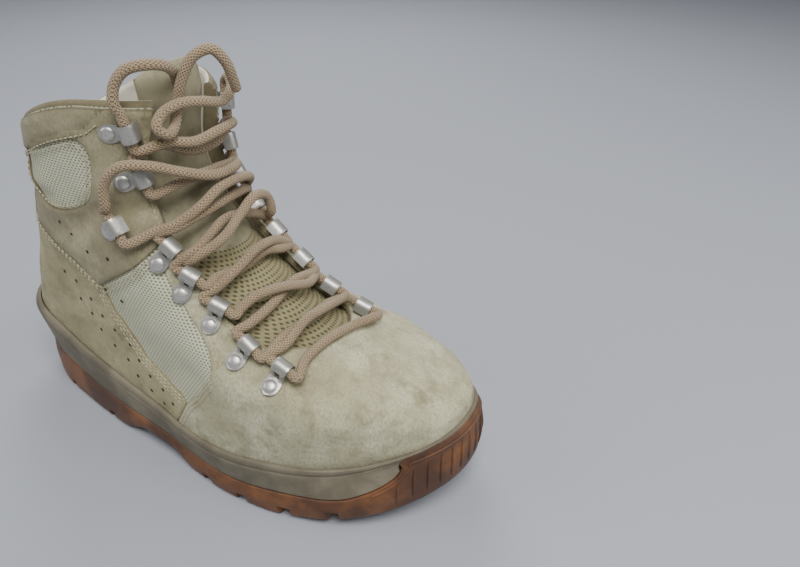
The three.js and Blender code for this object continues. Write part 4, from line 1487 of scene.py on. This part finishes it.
def seam_offset(line: np.ndarray, side: int, distance: float) -> np.ndarray:
    """Moves a line on the upper sideways over its surface.

    Args:
        line: the line's points, as (slice, tau).
        side: which side of the boot it is on.
        distance: how far to move it, in millimetres; positive is to the left of its direction.

    Returns:
        The moved line.
    """
    step = 0.002
    s, tau = line[:, 0], line[:, 1]
    by_s = (last_point(s + step, side, tau) - last_point(s - step, side, tau)) / (2 * step)
    by_tau = (last_point(s, side, tau + step) - last_point(s, side, tau - step)) / (2 * step)
    ahead = np.gradient(line, axis=0)
    direction = unit(by_s * ahead[:, :1] + by_tau * ahead[:, 1:])
    across = unit(np.cross(last_normal(s, side, tau), direction)) * distance
    a, b, d = (by_s * by_s).sum(1), (by_s * by_tau).sum(1), (by_tau * by_tau).sum(1)
    p, q = (by_s * across).sum(1), (by_tau * across).sum(1)
    det = a * d - b * b + 1e-9
    return line + np.column_stack([(p * d - q * b) / det, (q * a - p * b) / det])


def nearest(some: np.ndarray, others: np.ndarray) -> np.ndarray:
    """Returns each point's distance to the nearest of some other points."""
    at_once = 1500
    result = np.empty(len(some))
    for k in range(0, len(some), at_once):
        part = some[k : k + at_once, None, :] - others[None]
        result[k : k + at_once] = np.sqrt((part * part).sum(2)).min(1)
    return result


@dataclass
class Panel:
    """One cut panel that lies on one side of the upper. Its outline and opening are (slice, tau)."""

    side: int
    top: float
    outline: np.ndarray
    opening: np.ndarray | None = None
    border_step: float = 1.2
    step: float = 1.7
    clear: float = 0.8
    bevel: float = 0.8
    bevel_drop: float = 0.7
    depth: float = 2.4

    def loops(self) -> list[np.ndarray]:
        """Returns the outline and the opening as evenly spaced closed loops."""
        found = [self.outline] if self.opening is None else [self.outline, self.opening]
        return [resample(np.vstack([loop, loop[:1]]), FLAT, self.border_step)[:-1] for loop in found]

    def holds(self, points: np.ndarray) -> np.ndarray:
        """Returns which points lie on the panel."""
        result = inside(points, self.outline)
        if self.opening is not None:
            result &= ~inside(points, self.opening)
        return result

    def places(self, points: np.ndarray) -> np.ndarray:
        """Returns where (slice, tau) points are on the smooth form."""
        return last_point(points[:, 0], self.side, points[:, 1])

    def filling(self, border: np.ndarray) -> np.ndarray:
        """Returns staggered points over the panel, clear of its border."""
        low, high = self.outline.min(0), self.outline.max(0)
        samples = 200
        rows = []
        for j, s in enumerate(np.arange(low[0], high[0], self.step * 0.85 / S_SCALE)):
            line = np.column_stack([np.full(samples, s), np.linspace(low[1], high[1], samples)])
            lengths = np.r_[0, np.cumsum(np.linalg.norm(np.diff(self.places(line), axis=0), axis=1))]
            at = np.arange((j % 2) * self.step / 2, lengths[-1], self.step)
            rows.append(np.column_stack([np.full(len(at), s), np.interp(at, lengths, line[:, 1])]))
        points = np.vstack(rows)
        points = points[self.holds(points)]
        return points[nearest(self.places(points), self.places(border)) > self.clear]

    def triangles(self, loops: list[np.ndarray]) -> tuple[np.ndarray, Faces]:
        """Fills the panel with triangles.

        Args:
            loops: its border's loops.

        Returns:
            The (slice, tau) points and the triangles.
        """
        border = np.vstack(loops)
        edges: list[tuple[int, int]] = []
        for loop in loops:
            base = len(edges)
            edges += [(base + k, base + (k + 1) % len(loop)) for k in range(len(loop))]
        flat = np.vstack([border, self.filling(border)]) * FLAT
        found, _, triangles, *_ = delaunay_2d_cdt([Vector(p) for p in flat.tolist()], edges, [], 0, 1e-5)
        points = np.array([tuple(p) for p in found]) / FLAT
        good = self.holds(points[np.array(triangles)].mean(1))
        return points, [tuple(t) for t, ok in zip(triangles, good) if ok]

    def build(self) -> tuple[Part, np.ndarray]:
        """Makes the panel: its face, rounded at cut edges, and a skirt down to the form under it.

        Returns:
            The part, and every point's distance from the cut edge.
        """
        loops = self.loops()
        border = np.vstack(loops)
        folded = (border[:, 1] < 0.004) | (border[:, 1] > 0.995) | (border[:, 0] < 0.004)
        found, faces = self.triangles(loops)
        s, tau = np.clip(found[:, 0], 0, 1), np.clip(found[:, 1], 0, 1)
        distance = nearest(last_point(s, self.side, tau), self.places(border[~folded]))
        short = np.clip(1 - distance / self.bevel, 0, 1)
        height = self.top - self.bevel_drop * (1 - np.sqrt(1 - short * short * 0.999))
        face = surface(s, self.side, tau, height)
        under = surface(s, self.side, tau, self.top - self.depth)
        a, b, c = sample = faces[len(faces) // 2]
        outward = last_normal(s[a], np.array(self.side), tau[a])
        if np.cross(face[b] - face[a], face[c] - face[a]).dot(outward) < 0:
            faces = [t[::-1] for t in faces]
        used = {(t[k], t[(k + 1) % len(sample)]) for t in faces for k in range(len(sample))}
        size = len(found)
        for p, q in sorted(used):
            if (q, p) not in used and distance[p] < 0.5:
                faces.append((q, p, p + size, q + size))
        uv = np.column_stack([tau * TAU_SCALE, s * S_SCALE])
        return (np.vstack([face, under]), faces, np.vstack([uv, uv])), np.r_[distance, np.zeros(size)]


class Cloth(Enum):
    """The upper shell's materials, by their place on the piece."""

    MESH = 0
    LINING = 1
    SUEDE = 2


@dataclass
class Upper:
    """The upper: base fabric and lining, cut panels, stitching and holes."""

    maker: Maker
    finishes: Finishes
    low_rows: int = 60
    high_rows: int = 56
    side_columns: int = 96
    front_columns: int = 26
    roll_rows: int = 9
    suede_roll_rows: int = 4
    collar_slice: float = 0.998
    stitch_pitch: float = 3.1
    hole_radius: float = 1.15
    hole_sides: int = 14

    def shell_row(self, s: float, roll: float | None, outer: bool) -> np.ndarray:
        """Returns one row of the shell's points round the boot.

        Args:
            s: its slice.
            roll: how far round the collar's rolled edge it is, from 0 outside to 1 inside, or None.
            outer: whether it is on the outside.

        Returns:
            The points.
        """
        wall = float(wall_at(s))
        parts = []
        for side in SIDES:
            edge = float(front_tau(s, throat_reach(s, side)))
            taus = np.linspace(0, edge, self.side_columns + 1)
            taus = np.r_[taus, np.linspace(edge, 1, self.front_columns + 1)[1:]]
            if side > 0:
                taus = taus[::-1][1:-1]
            slices_here = np.full(len(taus), s)
            outside = surface(slices_here, side, taus, BASE_TOP)
            lining = surface(slices_here, side, taus, -wall)
            if roll is not None:
                angle = math.pi * roll
                rise = np.array([0, 0, (wall + BASE_TOP) / 2])
                middle, half = (outside + lining) / 2, (outside - lining) / 2
                parts.append(middle + half * math.cos(angle) + rise * math.sin(angle))
            else:
                parts.append(outside if outer else lining)
        return np.vstack(parts)

    def shell(self) -> bpy.types.Object:
        """Makes the hollow base: mesh fabric outside, leather lining inside, rolled at the collar."""
        low = np.linspace(0, THROAT_SLICE, self.low_rows)
        levels = np.r_[low, np.linspace(THROAT_SLICE, 1, self.high_rows)[1:]]
        rows = [self.shell_row(s, None, True) for s in levels]
        rows += [self.shell_row(1.0, k / (self.roll_rows + 1), True) for k in range(1, self.roll_rows + 1)]
        rows += [self.shell_row(s, None, False) for s in levels[::-1]]
        size, count, outer_rows = len(rows[0]), len(rows), len(levels)
        first, last = self.side_columns, self.side_columns + 2 * self.front_columns
        mouth = self.low_rows - 1
        faces: Faces = []
        cloth: list[Cloth] = []
        for j in range(count - 1):
            above_mouth = mouth <= j < count - 1 - mouth
            kind = Cloth.MESH if j < outer_rows - 1 else Cloth.LINING
            if outer_rows - 1 <= j < outer_rows + self.suede_roll_rows:
                kind = Cloth.SUEDE
            for i in range(size):
                if above_mouth and first <= i < last:
                    continue
                after = (i + 1) % size
                faces.append((j * size + i, j * size + after, (j + 1) * size + after, (j + 1) * size + i))
                cloth.append(kind)
        rim: Faces = []
        for column in (first, last):
            turn = 1 if column == first else -1
            for j in range(mouth, outer_rows - 1):
                other, after = count - 1 - j, count - 2 - j
                corners = (j, j + 1, after, other)
                rim.append(tuple(row * size + column for row in corners)[::turn])
            cap = range(outer_rows - 1, count - outer_rows + 1)
            rim.append(tuple(row * size + column for row in cap)[::turn])
        other = count - 1 - mouth
        for i in range(first, last):
            rim.append((mouth * size + i, mouth * size + i + 1, other * size + i + 1, other * size + i))
        for i in range(size):
            after, under = (i + 1) % size, (count - 1) * size
            faces.append((i, under + i, under + after, after))
            cloth.append(Cloth.LINING)
        points = np.vstack(rows)
        obj = self.maker.mesh("upper_shell", points, faces + rim, points[:, [0, 2]] * 0.93)
        self.maker.finish(obj, self.finishes.mesh, Finish.SUEDE, "upper")
        obj.data.materials.append(self.finishes.lining)
        obj.data.materials.append(self.finishes.ankle)
        kinds = [kind.value for kind in cloth] + [Cloth.SUEDE.value] * len(rim)
        obj.data.polygons.foreach_set("material_index", np.array(kinds, np.int32))
        return obj

    def outlines(self, side: int) -> dict[str, tuple[np.ndarray, np.ndarray | None]]:
        """Returns each panel's outline and opening on one side."""
        corner, fold_points = THROAT_SLICE, 12
        ridge = np.column_stack([np.linspace(0, corner, fold_points), np.ones(fold_points)])
        bottom = np.column_stack([np.zeros(fold_points), np.linspace(0.5, 1, fold_points)])
        mouth = float(front_tau(corner, throat_reach(corner, side)))
        across = np.column_stack([np.full(6, corner), np.linspace(1, mouth, 6)])
        side_edge = throat_line(side, corner, 0.8)
        eyestay = smooth_line(EYESTAY_EDGE, 2)
        vamp = np.vstack([bottom, ridge[1:], across[1:], side_edge[1:], eyestay[:-1]])
        end = float(front_tau(self.collar_slice, throat_reach(self.collar_slice, side)))
        collar = np.column_stack([np.full(20, self.collar_slice), np.linspace(0, end, 20)])
        down = throat_line(side, 0.775, 0.99)[::-1]
        ankle = np.vstack([smooth_line(ANKLE_FRONT, 2), smooth_line(ANKLE_BACK, 2)[1:], collar, down])
        back = collar[::-1][collar[::-1][:, 1] < 0.67]
        band = np.vstack([smooth_line(BAND_EDGE, 2), [(self.collar_slice, 0.68)], back])
        return {
            "quarter": (np.array(QUARTER, float), None),
            "vamp": (vamp, None),
            "ankle": (ankle, smooth_line(ANKLE_HOLE, 2, True)),
            "band": (band, None),
        }

    def panels(self) -> None:
        """Makes the cut panels of both sides."""
        looks = {
            "quarter": (QUARTER_TOP, self.finishes.quarter),
            "vamp": (VAMP_TOP, self.finishes.vamp),
            "ankle": (ANKLE_TOP, self.finishes.ankle),
            "band": (BAND_TOP, self.finishes.ankle),
        }
        for name, (top, material) in looks.items():
            parts, edges = [], []
            for side in SIDES:
                part, edge = Panel(side, top, *self.outlines(side)[name]).build()
                parts.append(part)
                edges.append(edge)
            obj = self.maker.mesh(f"{name}_panels", *join(parts), edge=np.concatenate(edges))
            bpy.ops.object.mode_set(mode="EDIT")
            bpy.ops.mesh.select_all(action="SELECT")
            bpy.ops.mesh.remove_doubles(threshold=0.05 * MM)
            bpy.ops.object.mode_set(mode="OBJECT")
            bpy.ops.object.shade_smooth_by_angle(angle=math.radians(50))
            self.maker.finish(obj, material, Finish.SUEDE)

    def stitch_line(self, line: np.ndarray, side: int, out: float) -> list[Part]:
        """Sews a line on the upper.

        Args:
            line: the line, as (slice, tau).
            side: which side of the boot it is on.
            out: how far the stitches' middle stands above the upper's form.

        Returns:
            The stitches.
        """
        spaced = resample(line, FLAT, 0.6)
        places = surface(np.clip(spaced[:, 0], 0, 1), side, np.clip(spaced[:, 1], 0, 1), out)
        lengths = np.r_[0, np.cumsum(np.linalg.norm(np.diff(places, axis=0), axis=1))]
        shape = ((-1.15, 0.12), (-0.8, 0.32), (0.0, 0.38), (0.8, 0.32), (1.15, 0.12))
        turns = np.arange(6)[:, None] / 6 * 2 * math.pi
        faces: Faces = [(a, d, c, b) for a, b, c, d in grid_faces(len(shape), len(turns), True)]
        parts = []
        for at in np.arange(1.5, lengths[-1] - 1.5, self.stitch_pitch):
            middle, ahead = (
                np.array([np.interp(place, lengths, places[:, k]) for k in range(3)])
                for place in (at, at + 1)
            )
            ahead = unit(ahead - middle)
            k = int(np.searchsorted(lengths, at))
            normal = last_normal(spaced[k, 0], np.array(side), spaced[k, 1])
            circle = np.cos(turns) * normal + np.sin(turns) * np.cross(normal, ahead)
            points = np.vstack([middle + ahead * along + circle * radius for along, radius in shape])
            parts.append((points, faces, np.zeros((len(points), 2))))
        return parts

    def stitching(self) -> bpy.types.Object:
        """Makes the rows of stitches along the panels' edges."""
        parts = []
        opening = smooth_line(ANKLE_HOLE, 2, True)
        for side in SIDES:
            turn = 1 if side < 0 else -1
            for line, top, gaps in (
                (smooth_line(ANKLE_FRONT, 2), ANKLE_TOP, (2.0, 4.4)),
                (smooth_line(ANKLE_BACK, 2), ANKLE_TOP, (2.0, 4.4)),
                (smooth_line(EYESTAY_EDGE, 2)[3:], VAMP_TOP, (2.0, 4.2)),
                (smooth_line(BAND_EDGE, 2), BAND_TOP, (-1.8,)),
                (np.vstack([opening, opening[:1]]), ANKLE_TOP, (2.0,)),
                (np.array(QUARTER[4:11], float), QUARTER_TOP, (1.8, 4.2, 6.8)),
                (throat_line(side, 0.55, 0.97), ANKLE_TOP, (2.2,)),
            ):
                for gap in gaps:
                    moved = seam_offset(line, side, gap * turn)
                    keep = (moved[:, 1] > 0.01) & (moved[:, 1] < 0.97) & (moved[:, 0] > 0.03)
                    if keep.sum() > 3:
                        parts += self.stitch_line(moved[keep], side, top + 0.05)
        obj = self.maker.mesh("stitching", *join(parts)[:2])
        return self.maker.finish(obj, self.finishes.thread, Finish.SUEDE)

    def holes(self) -> bpy.types.Object:
        """Makes the punched holes as small dark dishes of painted shade."""
        parts = []
        sides = self.hole_sides
        turns = np.arange(sides)[:, None] / sides * 2 * math.pi
        faces: Faces = [*grid_faces(2, sides, True), tuple(range(sides, 2 * sides))]
        for side in SIDES:
            for s, tau in HOLES:
                top = ANKLE_TOP if s > 0.6 else QUARTER_TOP
                normal = last_normal(s, np.array(side), tau)
                middle = surface(np.array(s), np.array(side), np.array(tau), top + 0.06)
                across = unit(np.cross(normal, [0, 0, 1.0]))
                circle = np.cos(turns) * across + np.sin(turns) * np.cross(normal, across)
                rim = middle + circle * self.hole_radius
                points = np.vstack([rim, middle + circle * 0.9 + normal * 0.06])
                parts.append((points, faces, np.zeros((len(points), 2))))
        obj = self.maker.mesh("punched_holes", *join(parts)[:2])
        return self.maker.finish(obj, self.finishes.shaded_hole, Finish.SUEDE)


@dataclass
class Tongue:
    """The padded tongue: leather above, mesh below."""

    maker: Maker
    finishes: Finishes
    thick: float = 4.0
    rise: float = 17.0
    lean: float = -2.0
    tuck: float = 5.0
    leather_from: float = 0.74
    columns: int = 61
    rows: int = 70
    top_rows: int = 14

    def __post_init__(self) -> None:
        """Works out the tongue's rows and columns."""
        self.across = np.linspace(-1, 1, self.columns)
        self.slices = np.r_[np.linspace(0.47, 1, self.rows), np.ones(self.top_rows)]
        self.lifts = np.r_[np.zeros(self.rows), np.linspace(0, 1, self.top_rows + 1)[1:]]

    def layer(self, back: bool) -> np.ndarray:
        """Returns the tongue's front or back face, as rows of points."""
        share = np.abs(self.across)
        side = np.where(self.across < 0, LATERAL, MEDIAL).astype(float)
        edge = np.clip((share - 0.9) / 0.1, 0, 1)
        rib = 0.35 * np.exp(-(((share - 0.62) / 0.03) ** 2))
        to_top = np.outer(1 - share**3 * 0.45, [self.lean, 0, self.rise])
        grid = []
        for s, lift in zip(self.slices, self.lifts):
            reach = self.across * (np.where(side < 0, throat["lateral"](s), throat["medial"](s)) + self.tuck)
            puff = 0.9 * np.cos(self.across * math.pi / 2) * min(1, (1.0 - lift) * 3) - edge**2
            inset = (edge**2 + (max(0.0, lift - 0.8) / 0.2) ** 2) * 1.2
            out = -float(wall_at(s)) - 1.2 + (inset - self.thick if back else puff - rib - inset)
            tau = front_tau(np.full(self.columns, s), np.abs(reach))
            row = last_point(s, side, tau) + last_normal(s, side, tau) * out[:, None]
            grid.append(row + to_top * lift)
        return np.vstack(grid)

    def build(self) -> bpy.types.Object:
        """Makes the tongue."""
        rows, size = len(self.slices), self.columns
        quads = grid_faces(rows, size, False)
        under = rows * size
        faces: Faces = list(quads)
        faces += [(a + under, d + under, c + under, b + under) for a, b, c, d in quads]
        border = [(0, i) for i in range(size - 1)] + [(j, size - 1) for j in range(rows - 1)]
        border += [(rows - 1, i) for i in range(size - 1, 0, -1)] + [(j, 0) for j in range(rows - 1, 0, -1)]
        flat = [j * size + i for j, i in border]
        faces += [(q, p, p + under, q + under) for p, q in zip(flat, flat[1:] + flat[:1])]
        up = np.repeat(self.slices * S_SCALE + self.lifts * self.rise, size)
        uv = np.column_stack([np.tile(self.across * 30, rows), up])
        points = np.vstack([self.layer(False), self.layer(True)])
        obj = self.maker.mesh("tongue_pad", points, faces, np.vstack([uv, uv]))
        self.maker.finish(obj, self.finishes.tongue, Finish.SUEDE, "tongue")
        obj.data.materials.append(self.finishes.tongue_mesh)
        for polygon in obj.data.polygons:
            j, i = divmod(polygon.vertices[0] % under, size)
            meshed = self.slices[j] < self.leather_from and abs(self.across[i]) < 0.88
            polygon.material_index = int(meshed)
        return obj


# ---- Scene ----


def aim(obj: bpy.types.Object, place: Vector, target: Vector) -> None:
    """Puts an object somewhere and turns it to a target."""
    obj.location = place
    obj.rotation_euler = (target - place).to_track_quat("-Z", "Y").to_euler()


def camera() -> None:
    """Makes the camera, in front of the boot on its lateral side and above it."""
    data = bpy.data.cameras.new("camera")
    data.lens = 31.5
    data.sensor_width = 36
    obj = bpy.data.objects.new("camera", data)
    bpy.context.scene.collection.objects.link(obj)
    right = Vector((0.887, 0.460, 0.023)).normalized()
    forward = Vector((-0.378, 0.755, -0.536)).normalized()
    up = right.cross(forward).normalized()
    right = forward.cross(up)
    turn = Matrix((right, up, -forward)).transposed()
    obj.matrix_world = Matrix.Translation((0.2329, -0.2485, 0.3075)) @ turn.to_4x4()
    bpy.context.scene.camera = obj


# Each light's name, place, diameter and watts.
LIGHTS = (
    ("key", (0.5, -0.5, 1.25), 0.7, 20.0),
    ("fill", (1.1, 0.3, 0.8), 1.0, 7.0),
    ("back", (-0.6, 0.9, 1.0), 0.9, 11.0),
    ("side", (-0.9, -0.7, 0.8), 0.9, 5.0),
)
LIT_PLACE = (0, 0, 0.08)
FLOOR_HALF = 1.8
AMBIENT = 0.36


def floor() -> None:
    """Makes the floor."""
    corners = [(x * FLOOR_HALF, y * FLOOR_HALF, 0) for x, y in ((-1, -1), (1, -1), (1, 1), (-1, 1))]
    data = bpy.data.meshes.new("floor")
    data.from_pydata(corners, [], [(0, 1, 2, 3)])
    obj = bpy.data.objects.new("floor", data)
    bpy.context.scene.collection.objects.link(obj)
    obj.data.materials.append(Paint("floor").done(colour_of(158, 161, 168), 0.9))


def lights() -> None:
    """Makes soft studio lights."""
    for name, place, size, power in LIGHTS:
        light = bpy.data.lights.new(name, "AREA")
        light.shape = "DISK"
        light.size = size
        light.energy = power
        obj = bpy.data.objects.new(name, light)
        bpy.context.scene.collection.objects.link(obj)
        aim(obj, Vector(place), Vector(LIT_PLACE))
    world = bpy.data.worlds.new("studio")
    world.use_nodes = True
    background = world.node_tree.nodes["Background"].inputs
    background["Color"].default_value = colour_of(196, 200, 208)
    background["Strength"].default_value = AMBIENT
    bpy.context.scene.world = world


def main() -> None:
    """Builds the boot and its setting."""
    logging.basicConfig(level=logging.INFO)
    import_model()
    camera()
    maker = Maker()
    finishes = Finishes()
    lacing = Lacing(maker, finishes)
    for hook in LOOSE_ENDS:
        lacing.loose_end(hook)
    lacing.crossings()
    lacing.hooks()
    layers = Sole(maker, finishes)
    layers.outsole()
    layers.bumper()
    layers.midsole()
    layers.insole()
    Tongue(maker, finishes).build()
    upper = Upper(maker, finishes)
    upper.shell()
    upper.panels()
    upper.stitching()
    upper.holes()
    floor()
    lights()


if __name__ == "__main__":
    main()
